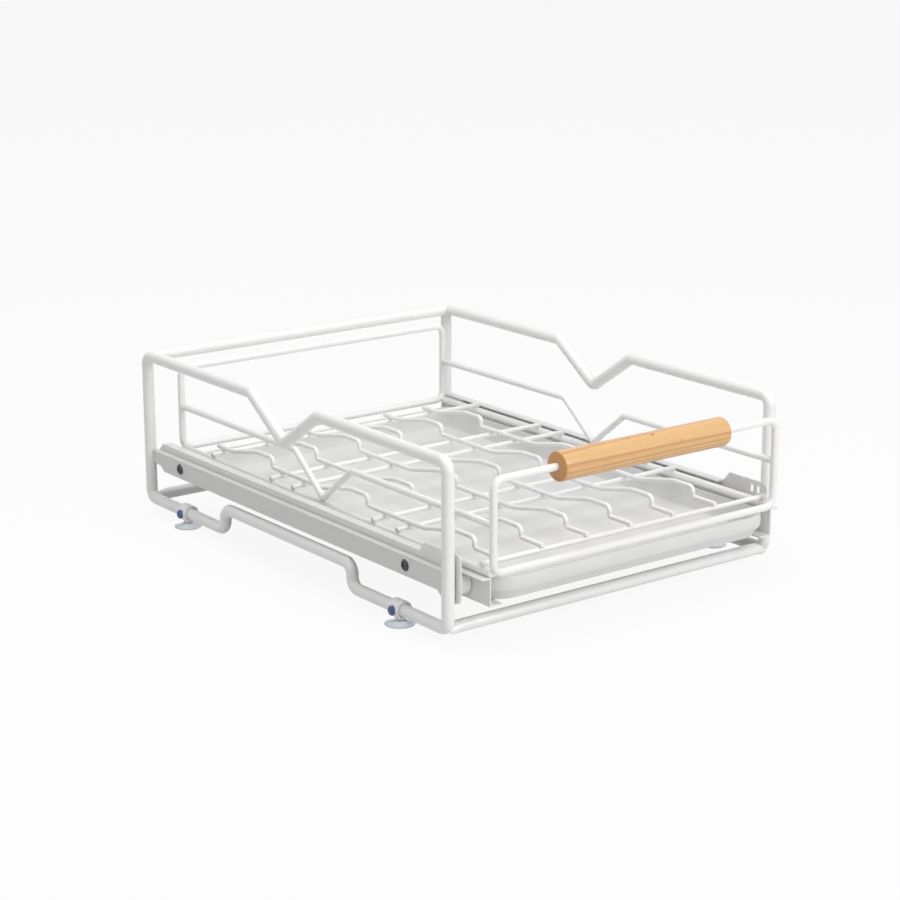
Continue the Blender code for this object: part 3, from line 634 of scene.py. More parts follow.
@dataclass
class BentBar:
    """A round bar that runs straight from corner to corner and bends at each."""

    corners: list[Corner]
    radius: float
    closed: bool = False
    sides: int = 28
    arc: float = math.radians(6)
    end_round: float = 0.35 * MM

    def bend(self, index: int) -> tuple[Vector, Vector, Vector, Vector, float]:
        """Work out one bend.

        Args:
            index: Number of the corner.

        Returns:
            Where the bend starts and ends, its centre, its axis and its angle.
        """
        corner = self.corners[index]
        back = (self.corners[index - 1].place - corner.place).normalized()
        ahead = (self.corners[(index + 1) % len(self.corners)].place - corner.place).normalized()
        half = back.angle(ahead) / 2
        reach = corner.radius / math.tan(half)
        centre = corner.place + (back + ahead).normalized() * corner.radius / math.sin(half)
        axis = (-back).cross(ahead).normalized()
        return corner.place + back * reach, corner.place + ahead * reach, centre, axis, math.pi - 2 * half

    def push(self, shape: bmesh.types.BMesh, ring: Edges, travel: Vector) -> Edges:
        """Extrude the open end of the bar along a straight run.

        Args:
            shape: The bar so far.
            ring: Edges of its open end.
            travel: Direction and length of the run.

        Returns:
            Edges of the new open end.
        """
        grown = bmesh.ops.extrude_edge_only(shape, edges=ring)["geom"]
        verts = only_verts(grown)
        known = set(verts)
        bmesh.ops.translate(shape, verts=verts, vec=travel)
        edges = [item for item in grown if isinstance(item, bmesh.types.BMEdge)]
        return [edge for edge in edges if edge.verts[0] in known and edge.verts[1] in known]

    def turn(
        self,
        shape: bmesh.types.BMesh,
        ring: Edges,
        centre: Vector,
        axis: Vector,
        angle: float,
    ) -> Edges:
        """Spin the open end of the bar round a bend.

        Args:
            shape: The bar so far.
            ring: Edges of its open end.
            centre: Centre of the bend.
            axis: Axis of the bend.
            angle: Angle of the bend.

        Returns:
            Edges of the new open end.
        """
        verts = list({vert for edge in ring for vert in edge.verts})
        spun = bmesh.ops.spin(
            shape,
            geom=verts + ring,
            cent=centre,
            axis=axis,
            angle=angle,
            steps=max(2, math.ceil(angle / self.arc)),
            use_duplicate=False,
        )
        return [item for item in spun["geom_last"] if isinstance(item, bmesh.types.BMEdge)]

    def build(self) -> bmesh.types.BMesh:
        """Sweep a circle through the runs and bends; open ends are capped and eased.

        Returns:
            The closed shape of the bar.
        """
        shape = bmesh.new()
        count = len(self.corners)
        if self.closed:
            start = self.bend(count - 1)[1]
            heading = (self.corners[0].place - start).normalized()
            order = list(range(count))
        else:
            start = self.corners[0].place
            heading = (self.corners[1].place - start).normalized()
            order = list(range(1, count - 1))
        facing = Matrix.Translation(start) @ heading.to_track_quat("Z", "Y").to_matrix().to_4x4()
        bmesh.ops.create_circle(shape, cap_ends=False, segments=self.sides, radius=self.radius, matrix=facing)
        first = list(shape.edges)
        ring, here = first, start
        for index in order:
            enter, leave, centre, axis, angle = self.bend(index)
            ring = self.push(shape, ring, enter - here)
            ring = self.turn(shape, ring, centre, axis, angle)
            here = leave
        if self.closed:
            bmesh.ops.remove_doubles(shape, verts=shape.verts, dist=0.01 * MM)
        else:
            ring = self.push(shape, ring, self.corners[-1].place - here)
            for rim in (first, ring):
                bmesh.ops.contextual_create(shape, geom=rim)
            bmesh.ops.bevel(
                shape,
                geom=first + ring,
                offset=self.end_round,
                segments=2,
                profile=0.5,
                affect="EDGES",
                material=-1,
            )
        bmesh.ops.recalc_face_normals(shape, faces=shape.faces)
        return shape


@dataclass
class Turning:
    """A profile of (radius, height) pairs turned about Z, then laid along an axis."""

    profile: list[tuple[float, float]]
    ring: bool = False
    segments: int = 48

    def build(self, place: Vector, heading: Vector) -> bmesh.types.BMesh:
        """Spin the profile and put it in place.

        Args:
            place: Where the profile's height zero goes.
            heading: Direction that the profile's heights run along.

        Returns:
            The closed turned shape.
        """
        shape = bmesh.new()
        points = [shape.verts.new((radius, 0, height)) for radius, height in self.profile]
        edges = [shape.edges.new(pair) for pair in zip(points, points[1:])]
        if self.ring:
            edges.append(shape.edges.new((points[-1], points[0])))
        bmesh.ops.spin(
            shape,
            geom=points + edges,
            cent=(0, 0, 0),
            axis=(0, 0, 1),
            angle=math.tau,
            steps=self.segments,
            use_merge=True,
        )
        bmesh.ops.remove_doubles(shape, verts=shape.verts, dist=0.001 * MM)
        bmesh.ops.recalc_face_normals(shape, faces=shape.faces)
        turn = heading.to_track_quat("Z", "Y").to_matrix().to_4x4()
        bmesh.ops.transform(shape, verts=shape.verts, matrix=Matrix.Translation(place) @ turn)
        return shape


def join_shapes(shapes: list[bmesh.types.BMesh]) -> bmesh.types.BMesh:
    """Gather several shapes into one.

    Args:
        shapes: Shapes to gather; each is freed.

    Returns:
        One shape that holds them all.
    """
    whole = bmesh.new()
    for shape in shapes:
        part = bpy.data.meshes.new("part")
        shape.to_mesh(part)
        shape.free()
        whole.from_mesh(part)
        bpy.data.meshes.remove(part)
    return whole


def carve(shape: bmesh.types.BMesh, tool: bmesh.types.BMesh) -> bmesh.types.BMesh:
    """Cut one closed shape out of another.

    Args:
        shape: What is cut; it is freed.
        tool: What is taken away; it is freed.

    Returns:
        The cut shape.
    """
    solids = []
    for name, part in (("cut_body", shape), ("cut_tool", tool)):
        mesh = bpy.data.meshes.new(name)
        part.to_mesh(mesh)
        part.free()
        solid = bpy.data.objects.new(name, mesh)
        bpy.context.scene.collection.objects.link(solid)
        solids.append(solid)
    body, cutter = solids
    step = body.modifiers.new("cut", "BOOLEAN")
    step.operation = "DIFFERENCE"
    step.solver = "EXACT"
    step.object = cutter
    bpy.context.view_layer.update()
    made = bmesh.new()
    made.from_mesh(body.evaluated_get(bpy.context.evaluated_depsgraph_get()).data)
    for solid in solids:
        mesh = solid.data
        bpy.data.objects.remove(solid)
        bpy.data.meshes.remove(mesh)
    return made


@dataclass(frozen=True)
class Fitting:
    """Where a finished piece belongs: its body, its slot and the solids it stands for."""

    body: str
    slot: Slot
    nodes: tuple[str, ...] = ()


def add_piece(
    name: str,
    shape: bmesh.types.BMesh,
    finish: bpy.types.Material,
    fitting: Fitting,
    smooth: float = 40.0,
) -> bpy.types.Object:
    """Turn a shape into a finished piece, hang it on its body and hide the solids it stands for.

    Args:
        name: Piece name.
        shape: Finished shape in world place; it is freed.
        finish: Material.
        fitting: Body, slot and solids of the piece.
        smooth: Edges bent more than this many degrees stay crisp.

    Returns:
        The new object.
    """
    mesh = bpy.data.meshes.new(name)
    shape.to_mesh(mesh)
    shape.free()
    mesh.materials.append(finish)
    mesh.shade_smooth()
    mesh.set_sharp_from_angle(angle=math.radians(smooth))
    piece = bpy.data.objects.new(name, mesh)
    bpy.context.scene.collection.objects.link(piece)
    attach(piece, fitting.body)
    if fitting.nodes:
        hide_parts(*fitting.nodes)
    LOG.info("%s: %d faces on %s", name, len(mesh.polygons), fitting.body)
    return piece


def round_edges(piece: bpy.types.Object, name: str, width: float, least: float) -> None:
    """Round the crisp edges of a piece.

    Args:
        piece: Piece to round.
        name: Modifier name.
        width: Width of the rounding.
        least: Edges bent less than this many degrees are left as they are.
    """
    bevel = piece.modifiers.new(name, "BEVEL")
    bevel.width = width
    bevel.segments = 3
    bevel.limit_method = "ANGLE"
    bevel.angle_limit = math.radians(least)
    bevel.harden_normals = True


def eased_copy(
    node: bpy.types.Object,
    name: str,
    finish: bpy.types.Material,
    fitting: Fitting,
    ease: float,
    extra: bmesh.types.BMesh | None = None,
    drill: bmesh.types.BMesh | None = None,
) -> None:
    """Copy a folded sheet solid and round its edges as a press brake leaves them.

    Args:
        node: Solid to copy.
        name: Piece name.
        finish: Material.
        fitting: Body, slot and solids of the piece.
        ease: Width of the rounding.
        extra: A shape that is added to the copy; it is freed.
        drill: A shape that is cut out of the copy; it is freed.
    """
    shape = bmesh.new()
    shape.from_mesh(node.data)
    bmesh.ops.remove_doubles(shape, verts=shape.verts, dist=0.005 * MM)
    bmesh.ops.dissolve_limit(
        shape,
        angle_limit=math.radians(1),
        use_dissolve_boundaries=False,
        verts=shape.verts,
        edges=shape.edges,
    )
    for face in shape.faces:
        face.material_index = 0
    if drill:
        shape = carve(shape, drill)
    if extra:
        shape = join_shapes([shape, extra])
    piece = add_piece(name, shape, finish, fitting, smooth=35.0)
    round_edges(piece, "pressed_edges", ease, least=28.0)


@dataclass
class TubeFrame:
    """Two bent tube loops joined by three cross tubes."""

    coat: bpy.types.Material
    middle_y: float = 17.15 * MM
    loop_x: float = 164.0 * MM
    post_y: float = 217.75 * MM
    base_z: float = 12.4 * MM
    top_z: float = 141.6 * MM
    tube: float = 5.0 * MM
    corner: float = 8.0 * MM
    notch_half: float = 48.6 * MM
    notch_depth: float = 33.2 * MM
    shoulder: float = 10.0 * MM
    tip: float = 5.8 * MM
    arch_half: float = 93.8 * MM
    arch_rise: float = 19.0 * MM
    arch_radius: float = 8.8 * MM
    inset: float = 1.0 * MM
    overlap: float = 0.8 * MM
    tuck: float = 0.1 * MM
    neck: float = 15.0 * MM
    bead: float = 0.6 * MM
    ripple: float = 0.010
    bead_ripples: int = 22
    bead_drift: float = 260.0
    bead_least: float = 0.1
    saddle_least: float = 0.25

    def loop_corners(self, x: float) -> list[Corner]:
        """Give the corners of one side loop: a notch in the top rail, an arch in the bottom rail.

        Args:
            x: X of the loop's middle.

        Returns:
            The corners in order, with their bends.
        """
        outline = (
            (self.post_y, self.top_z, self.corner),
            (self.notch_half, self.top_z, self.shoulder),
            (0.0, self.top_z - self.notch_depth, self.tip),
            (-self.notch_half, self.top_z, self.shoulder),
            (-self.post_y, self.top_z, self.corner),
            (-self.post_y, self.base_z, self.corner),
            (-self.arch_half, self.base_z, self.arch_radius),
            (-self.arch_half, self.base_z + self.arch_rise, self.arch_radius),
            (self.arch_half, self.base_z + self.arch_rise, self.arch_radius),
            (self.arch_half, self.base_z, self.arch_radius),
            (self.post_y, self.base_z, self.corner),
        )
        return [Corner(Vector((x, y + self.middle_y, z)), radius) for y, z, radius in outline]

    def build_loops(self) -> None:
        """Bend the two side loops."""
        for side in Side:
            bar = BentBar(self.loop_corners(side.value * self.loop_x), self.tube, closed=True, sides=32)
            fitting = Fitting("frame", Slot.FRAME_TUBE, (f"{side.tag}_side_loop",))
            add_piece(f"side_loop_tube_{side.tag}", bar.build(), self.coat, fitting)

    def saddle(self, inward: float, upward: float) -> float:
        """Measure how far the loop's surface stands from its middle, seen from a cross tube.

        Args:
            inward: Distance of the point inside the posts' line.
            upward: Distance of the point inside the rail's line.

        Returns:
            Distance along X from the loop's middle to its surface.
        """
        bend = self.corner
        if inward < bend and upward < bend:
            away = abs(bend - math.hypot(bend - inward, bend - upward))
        else:
            away = min(abs(inward), abs(upward))
        return math.sqrt(max(self.tube ** 2 - away ** 2, (self.saddle_least * self.tube) ** 2))

    def fit_to_loop(self, vert: bmesh.types.BMVert, side: float, end: Vector, extra: float) -> None:
        """Move a point along X until it meets the loop.

        Args:
            vert: Point to move.
            side: Sign of the side it belongs to.
            end: Post line and rail line of the corner, as Y and Z.
            extra: How far it goes on into the loop.
        """
        inward = abs(end.y) - abs(vert.co.y - self.middle_y)
        upward = vert.co.z - end.z if end.z == self.base_z else end.z - vert.co.z
        vert.co.x += side * (self.loop_x - self.saddle(inward, upward) + extra)

    def tucked(self, y: float, z: float, end: Vector) -> tuple[float, float]:
        """Bring a point that stands outside the loop's bend back to the bend's surface.

        Args:
            y: Y of the point.
            z: Z of the point.
            end: Post line and rail line of the corner, as Y and Z.

        Returns:
            Y and Z of the point on or inside the bend.
        """
        centre_y = self.middle_y + end.y - math.copysign(self.corner, end.y)
        centre_z = end.z + (self.corner if end.z == self.base_z else -self.corner)
        away = math.hypot(y - centre_y, z - centre_z)
        share = min(1.0, (self.corner + self.tube - self.tuck) / away)
        return centre_y + (y - centre_y) * share, centre_z + (z - centre_z) * share

    def cross_tube(self, y: float, z: float, end: Vector) -> bmesh.types.BMesh:
        """Make one tube whose ends are coped to the loops and drawn in to their bends.

        Args:
            y: Y of the tube's middle.
            z: Z of the tube's middle.
            end: Post line and rail line of the corner, as Y and Z.

        Returns:
            The closed tube.
        """
        shape = bmesh.new()
        turn = Matrix.Translation((0, y, z)) @ Matrix.Rotation(math.pi / 2, 4, "Y")
        bmesh.ops.create_circle(shape, cap_ends=False, segments=40, radius=self.tube, matrix=turn)
        edges = list(shape.edges)
        rims, rings = [edges], [list(shape.verts)]
        for _ in range(3):
            grown = bmesh.ops.extrude_edge_only(shape, edges=edges)["geom"]
            ring = only_verts(grown)
            known = set(ring)
            edges = [edge for edge in shape.edges if edge.verts[0] in known and edge.verts[1] in known]
            rims.append(edges)
            rings.append(ring)
        for side, ring in ((-1.0, rings[1]), (1.0, rings[2])):
            for vert in ring:
                vert.co.x = side * (self.loop_x - self.neck)
        for side, ring in ((-1.0, rings[0]), (1.0, rings[3])):
            for vert in ring:
                vert.co.y, vert.co.z = self.tucked(vert.co.y, vert.co.z, end)
                self.fit_to_loop(vert, side, end, self.overlap)
        for rim in (rims[0], rims[3]):
            bmesh.ops.contextual_create(shape, geom=rim)
        bmesh.ops.recalc_face_normals(shape, faces=shape.faces)
        return shape

    def weld_bead(self, y: float, z: float, side: float, end: Vector) -> bmesh.types.BMesh:
        """Run one coated weld along the saddle of a tube's end, thinned out on the bend's outside.

        Args:
            y: Y of the tube's middle.
            z: Z of the tube's middle.
            side: Sign of the side that the end is on.
            end: Post line and rail line of the corner, as Y and Z.

        Returns:
            The closed bead.
        """
        shape = bmesh.new()
        upright = Matrix.Translation((0, self.tube, 0))
        bmesh.ops.create_circle(shape, cap_ends=False, segments=12, radius=self.bead, matrix=upright)
        bmesh.ops.spin(
            shape,
            geom=list(shape.verts) + list(shape.edges),
            cent=(0, 0, 0),
            axis=(1, 0, 0),
            angle=math.tau,
            steps=88,
            use_merge=True,
        )
        for vert in shape.verts:
            angle = math.atan2(vert.co.z, vert.co.y)
            waves = math.sin(self.bead_ripples * angle + self.bead_drift * vert.co.x)
            swell = 1 + self.ripple * waves
            rim_y, rim_z = y + self.tube * math.cos(angle), z + self.tube * math.sin(angle)
            inner_y, inner_z = self.tucked(rim_y, rim_z, end)
            drawn_in = math.hypot(inner_y - rim_y, inner_z - rim_z)
            thin = max(self.bead_least, 1 - drawn_in / self.bead)
            vert.co.x *= thin
            vert.co.y = inner_y + (y + vert.co.y * swell - rim_y) * thin
            vert.co.z = inner_z + (z + vert.co.z * swell - rim_z) * thin
            self.fit_to_loop(vert, side, end, 0.0)
        bmesh.ops.recalc_face_normals(shape, faces=shape.faces)
        return shape

    def build_cross_tubes(self) -> None:
        """Run the cross tubes into the loops and weld them."""
        beads = []
        for node, sign, line in (
            ("rear_top_tube", 1, self.top_z),
            ("rear_bottom_tube", 1, self.base_z),
            ("front_bottom_tube", -1, self.base_z),
        ):
            y = sign * (self.post_y - self.inset) + self.middle_y
            z = line - self.inset if line == self.top_z else line + self.inset
            end = Vector((0, sign * self.post_y, line))
            fitting = Fitting("frame", Slot.FRAME_TUBE, (node,))
            add_piece(f"{node}_bar", self.cross_tube(y, z, end), self.coat, fitting)
            beads += [self.weld_bead(y, z, side.value, end) for side in Side]
        fitting = Fitting("frame", Slot.FRAME_TUBE)
        add_piece("frame_weld_beads", join_shapes(beads), self.coat, fitting, smooth=60.0)

    def build(self) -> None:
        """Build the whole frame."""
        self.build_loops()
        self.build_cross_tubes()


@dataclass
class SuctionFeet:
    """Four feet: a clip round the rail, a stud through it and a suction cup below."""

    clip_finish: bpy.types.Material
    stud_finish: bpy.types.Material
    cup_finish: bpy.types.Material
    middle_y: float = 17.15 * MM
    foot_y: float = 156.8 * MM
    rail_x: float = 164.0 * MM
    rail_z: float = 12.4 * MM
    bore: float = 5.3 * MM
    clip_radius: float = 7.4 * MM
    clip_length: float = 12.5 * MM
    clip_ease: float = 0.5 * MM
    window: float = 3.6 * MM
    stud_radius: float = 3.3 * MM
    stud_gap: float = 0.15 * MM
    knob_radius: float = 4.0 * MM
    knob_height: float = 2.3 * MM
    knob_seat: float = 0.94
    knob_rim: float = 0.4 * MM
    dome_steps: int = 7
    cup_radius: float = 11.8 * MM
    cup_height: float = 4.7 * MM
    cup_top: float = 1.0 * MM
    cup_wall: float = 0.5 * MM
    cup_crown: float = 1.1 * MM
    neck_radius: float = 3.6 * MM
    hollow_least: float = 0.2 * MM
    flare: float = 1.7
    flare_steps: int = 12
    lip: float = 0.55 * MM
    lip_round: float = 0.4
    lip_foot: float = 0.3 * MM

    def clip(self, place: Vector, side: Side) -> bmesh.types.BMesh:
        """Turn a sleeve with rounded rims and drill a round window in its outer side.

        Args:
            place: Middle of the sleeve.
            side: Side of the rack.

        Returns:
            The closed sleeve.
        """
        half, ease = self.clip_length / 2, self.clip_ease
        soft = ease * ROUND
        profile = [
            (self.bore, -half),
            (self.clip_radius - ease, -half),
            (self.clip_radius - soft, -half + soft),
            (self.clip_radius, -half + ease),
            (self.clip_radius, half - ease),
            (self.clip_radius - soft, half - soft),
            (self.clip_radius - ease, half),
            (self.bore, half),
        ]
        sleeve = Turning(profile, ring=True).build(place, Vector((0, 1, 0)))
        drill = bmesh.new()
        spot = place + Vector((side.value * self.clip_radius, 0, 0))
        turn = Matrix.Rotation(math.pi / 2, 4, "Y")
        bmesh.ops.create_cone(
            drill,
            cap_ends=True,
            segments=40,
            radius1=self.window,
            radius2=self.window,
            depth=self.clip_radius,
            matrix=Matrix.Translation(spot) @ turn,
        )
        return carve(sleeve, drill)

    def stud(self, place: Vector, side: Side) -> bmesh.types.BMesh:
        """Turn the soft stud with its round knob over the window.

        Args:
            place: Middle of the sleeve that it stands in.
            side: Side of the rack.

        Returns:
            The closed stud.
        """
        neck, head = self.stud_radius, self.knob_radius
        seat = self.clip_radius - self.bore + self.stud_gap
        rim = seat + self.knob_rim
        profile = [(0.0, 0.0), (neck, 0.0), (neck, seat), (head * self.knob_seat, seat), (head, rim)]
        for step in range(1, self.dome_steps + 1):
            angle = math.pi / 2 * step / self.dome_steps
            profile.append((head * math.cos(angle), rim + self.knob_height * math.sin(angle)))
        start = place + Vector((side.value * self.bore, 0, 0))
        return Turning(profile).build(start, Vector((side.value, 0, 0)))

    def cup(self, place: Vector) -> bmesh.types.BMesh:
        """Turn a thin bell that flares from its neck to a soft lip on the floor.

        Args:
            place: Middle of the bell on the floor.

        Returns:
            The closed bell.
        """
        shoulder = self.cup_height - self.cup_top
        outer, inner = [], []
        for step in range(self.flare_steps + 1):
            share = step / self.flare_steps
            radius = self.neck_radius + (self.cup_radius - self.neck_radius) * share
            rise = (1 - share) ** self.flare
            hollow = max(radius - self.cup_wall, self.hollow_least)
            outer.append((radius, self.lip + (shoulder - self.lip) * rise))
            inner.append((hollow, (shoulder - self.cup_crown) * rise))
        rim = [(self.cup_radius, self.lip * self.lip_round), (self.cup_radius - self.lip_foot, 0.0)]
        profile = [(0.0, self.cup_height), (self.neck_radius, self.cup_height)]
        profile += outer + rim + inner[::-1]
        profile.append((0.0, inner[0][1]))
        return Turning(profile, segments=64).build(place, Vector((0, 0, 1)))

    def build(self) -> None:
        """Build all four feet."""
        for side in Side:
            for end in End:
                tag = f"{side.tag}_{end.tag}"
                x, y = side.value * self.rail_x, end.value * self.foot_y + self.middle_y
                rail = Vector((x, y, self.rail_z))
                clip = Fitting("frame", Slot.FOOT_CLIP, (f"{tag}_foot_clip",))
                add_piece(f"foot_sleeve_{tag}", self.clip(rail, side), self.clip_finish, clip)
                stud = Fitting("frame", Slot.FOOT_BUTTON, (f"{tag}_foot_button",))
                add_piece(f"foot_stud_{tag}", self.stud(rail, side), self.stud_finish, stud)
                cup = Fitting("frame", Slot.SUCTION_CUP, (f"{tag}_suction_cup",))
                bell = self.cup(Vector((x, y, 0)))
                add_piece(f"suction_bell_{tag}", bell, self.cup_finish, cup, smooth=60.0)


@dataclass(frozen=True)
class Axle:
    """Where a pair of rollers turns, and whether its pins point outward (1) or inward (-1)."""

    pin_x: float
    tyre_x: float
    y: float
    z: float
    collar_end: float
    outward: int


@dataclass
class Roller:
    """A moulded roller on a riveted pin, both turned about X."""

    width: float
    radius: float = 8.7 * MM
    bore: float = 2.8 * MM
    recess_radius: float = 4.9 * MM
    recess: float = 1.6 * MM
    ease: float = 0.7 * MM
    pin: float = 2.5 * MM
    collar: float = 4.5 * MM
    head: float = 4.2 * MM
    sheet: float = 1.2 * MM
    gap: float = 0.3 * MM
    dome: tuple[tuple[float, float], ...] = (
        (1.0, 0.35 * MM),
        (0.85, 0.7 * MM),
        (0.5, 0.95 * MM),
        (0.0, 1.0 * MM),
    )

    def tyre(self, place: Vector, heading: Vector) -> bmesh.types.BMesh:
        """Turn the roller itself, with eased edges and the recess for the pin's head.

        Args:
            place: Middle of the roller's face beside the collar.
            heading: Direction from there to the pin's head.

        Returns:
            The closed roller.
        """
        rim, width = self.radius - self.ease, self.width
        soft = self.ease * ROUND
        profile = [
            (self.bore, 0.0),
            (rim, 0.0),
            (self.radius - soft, soft),
            (self.radius, self.ease),
            (self.radius, width - self.ease),
            (self.radius - soft, width - soft),
            (rim, width),
            (self.recess_radius, width),
            (self.recess_radius, width - self.recess),
            (self.bore, width - self.recess),
        ]
        return Turning(profile, ring=True, segments=64).build(place, heading)

    def rivet(self, place: Vector, heading: Vector, collar_end: float) -> bmesh.types.BMesh:
        """Turn the pin: shank in the sheet, collar, and a domed head in the roller's recess.

        Args:
            place: Where the shank starts.
            heading: Direction from there to the head.
            collar_end: How far the collar reaches from the start.

        Returns:
            The closed pin.
        """
        start = self.sheet + self.gap
        head = collar_end + self.gap + self.width - self.recess + self.gap
        profile = [
            (0.0, 0.0),
            (self.pin, 0.0),
            (self.pin, start),
            (self.collar, start),
            (self.collar, collar_end),
            (self.pin, collar_end),
            (self.pin, head),
            (self.head, head),
        ]
        profile += [(self.head * share, head + rise) for share, rise in self.dome]
        return Turning(profile).build(place, heading)

    def add_pair(self, finishes: Finishes, end: End, body: str, axle: Axle) -> None:
        """Add the two rollers of one end of the slides, with their pins.

        Args:
            finishes: Finishes of the rack.
            end: End of the slides.
            body: Body that carries the pins.
            axle: Where the rollers turn.
        """
        for side in Side:
            tag = f"{side.tag}_{end.tag}"
            heading = Vector((side.value * axle.outward, 0, 0))
            pin = self.rivet(Vector((side.value * axle.pin_x, axle.y, axle.z)), heading, axle.collar_end)
            pin_fit = Fitting(body, Slot.ROLLER_PIN, (f"{tag}_roller_pin",))
            add_piece(f"{end.tag}_rivet_{side.tag}", pin, finishes.zinc, pin_fit)
            tyre = self.tyre(Vector((side.value * axle.tyre_x, axle.y, axle.z)), heading)
            tyre_fit = Fitting(f"{tag}_wheel", Slot.ROLLER, (f"{tag}_roller",))
            add_piece(f"{end.tag}_tyre_{side.tag}", tyre, finishes.nylon, tyre_fit)


@dataclass
class RollerSlides:
    """Strips welded in the loops, channels screwed to them, and the fixed rollers."""

    finishes: Finishes
    nodes: dict[str, bpy.types.Object]
    middle_y: float = 17.15 * MM
    strip_x: float = 164.6 * MM
    channel_x: float = 158.2 * MM
    rail_x: float = 144.6 * MM
    screw_y: float = 165.5 * MM
    screw_z: float = 49.7 * MM
    screw_head: float = 4.5 * MM
    screw_height: float = 2.4 * MM
    screw_shank: float = 1.8 * MM
    screw_stand: float = 0.3 * MM
    screw_tip: float = 0.8 * MM
    pan_side: float = 0.2
    dome_steps: int = 7
    recess_turns: tuple[float, float] = (20.0, 110.0)
    recess_span: float = 1.25
    recess_width: float = 1.0 * MM
    recess_depth: float = 1.1
    dimple_gap: float = 0.15 * MM
    dimple_reach: float = 1.5 * MM
    dimple_rise: float = 0.75 * MM
    dimple_wall: float = 0.75
    dimple_curve: float = 0.7
    dimple_steps: int = 6
    dimple_sink: float = 0.35 * MM
    roller_y: float = -213.75 * MM
    roller_z: float = 45.9 * MM
    collar: float = 0.8 * MM
    gap: float = 0.3 * MM
    rail_gap: float = 1.0 * MM
    sheet: float = 1.2 * MM
    fold: float = 0.5 * MM
    slot_places: tuple[float, float] = (-197.7 * MM, -190.5 * MM)
    slot_z: float = 63.2 * MM
    slot_radius: float = 1.9 * MM
    slot_straight: float = 2.6 * MM
    slot_sides: int = 24
    gusset_outline: tuple[tuple[float, float], ...] = (
        (-186.9 * MM, 41.4 * MM),
        (-174.0 * MM, 41.4 * MM),
        (-185.5 * MM, 32.4 * MM),
        (-195.9 * MM, 32.4 * MM),
    )

    def gusset(self, side: Side) -> bmesh.types.BMesh:
        """Make the sloped web below the channel, where it widens into the raised plate.

        Args:
            side: Side of the rack.

        Returns:
            The closed web.
        """
        shape = bmesh.new()
        inner, outer = self.channel_x - self.sheet, self.channel_x
        verts = [shape.verts.new((side.value * outer, y, z)) for y, z in self.gusset_outline]
        face = shape.faces.new(verts)
        grown = bmesh.ops.extrude_face_region(shape, geom=[face])["geom"]
        far = only_verts(grown)
        bmesh.ops.translate(shape, verts=far, vec=(side.value * (inner - outer), 0, 0))
        bmesh.ops.recalc_face_normals(shape, faces=shape.faces)
        return shape

    def slots(self, side: Side) -> bmesh.types.BMesh:
        """Shape what the press punches out of a raised plate: two upright slots.

        Args:
            side: Side of the rack.

        Returns:
            Both punches in one shape.
        """
        whole = []
        punch = 4 * self.sheet
        # The half facet of turn keeps the circle's points off the line where the slot is drawn out.
        upright = Matrix.Rotation(math.pi / 2, 4, "Y") @ Matrix.Rotation(math.pi / self.slot_sides, 4, "Z")
        for y in self.slot_places:
            shape = bmesh.new()
            bmesh.ops.create_circle(
                shape,
                cap_ends=True,
                segments=self.slot_sides,
                radius=self.slot_radius,
                matrix=upright,
            )
            for vert in shape.verts:
                vert.co.z += math.copysign(self.slot_straight / 2, vert.co.z)
            grown = bmesh.ops.extrude_face_region(shape, geom=list(shape.faces))["geom"]
            bmesh.ops.translate(shape, verts=only_verts(grown), vec=(punch, 0, 0))
            middle = side.value * (self.channel_x - self.sheet / 2) - punch / 2
            bmesh.ops.translate(shape, verts=shape.verts, vec=(middle, y, self.slot_z))
            bmesh.ops.recalc_face_normals(shape, faces=shape.faces)
            whole.append(shape)
        return join_shapes(whole)

    def build_sheets(self) -> None:
        """Ease the edges of the strips and channels."""
        for side in Side:
            for word in ("slide_strip", "slide_channel"):
                node = f"{side.tag}_{word}"
                fitting = Fitting("frame", Slot.SLIDE_SHEET, (node,))
                channel = word == "slide_channel"
                extra = self.gusset(side) if channel else None
                drill = self.slots(side) if channel else None
                name = f"{word}_sheet_{side.tag}"
                # The strips wear the darker copy of the coat, whose tone is painted shade.
                finish = self.finishes.sheet if channel else self.finishes.strip
                eased_copy(self.nodes[node], name, finish, fitting, self.fold, extra, drill)

    def screw(self, place: Vector, heading: Vector) -> bmesh.types.BMesh:
        """Turn a pan head screw and cut a cross recess in its head.

        Args:
            place: Where the head's underside goes.
            heading: Direction that the head faces.

        Returns:
            The closed screw.
        """
        radius, height = self.screw_head, self.screw_height
        tip = self.strip_x + self.screw_stand - (self.channel_x - self.sheet - self.screw_tip)
        profile = [(0.0, height)]
        for step in range(1, self.dome_steps + 1):
            angle = math.pi / 2 * step / self.dome_steps
            rise = self.pan_side + (1 - self.pan_side) * math.cos(angle)
            profile.append((radius * math.sin(angle), height * rise))
        profile += [(radius, 0.0), (self.screw_shank, 0.0), (self.screw_shank, -tip), (0.0, -tip)]
        cut = Turning(profile).build(Vector((0, 0, 0)), Vector((0, 0, 1)))
        size = Matrix.Diagonal((radius * self.recess_span, self.recess_width, height * self.recess_depth, 1))
        for turn in self.recess_turns:
            blade = bmesh.new()
            bmesh.ops.create_cube(blade, size=1)
            swing = Matrix.Translation((0, 0, height)) @ Matrix.Rotation(math.radians(turn), 4, "Z")
            bmesh.ops.transform(blade, verts=blade.verts, matrix=swing @ size)
            cut = carve(cut, blade)
        face = heading.to_track_quat("Z", "Y").to_matrix().to_4x4()
        bmesh.ops.transform(cut, verts=cut.verts, matrix=Matrix.Translation(place) @ face)
        return cut

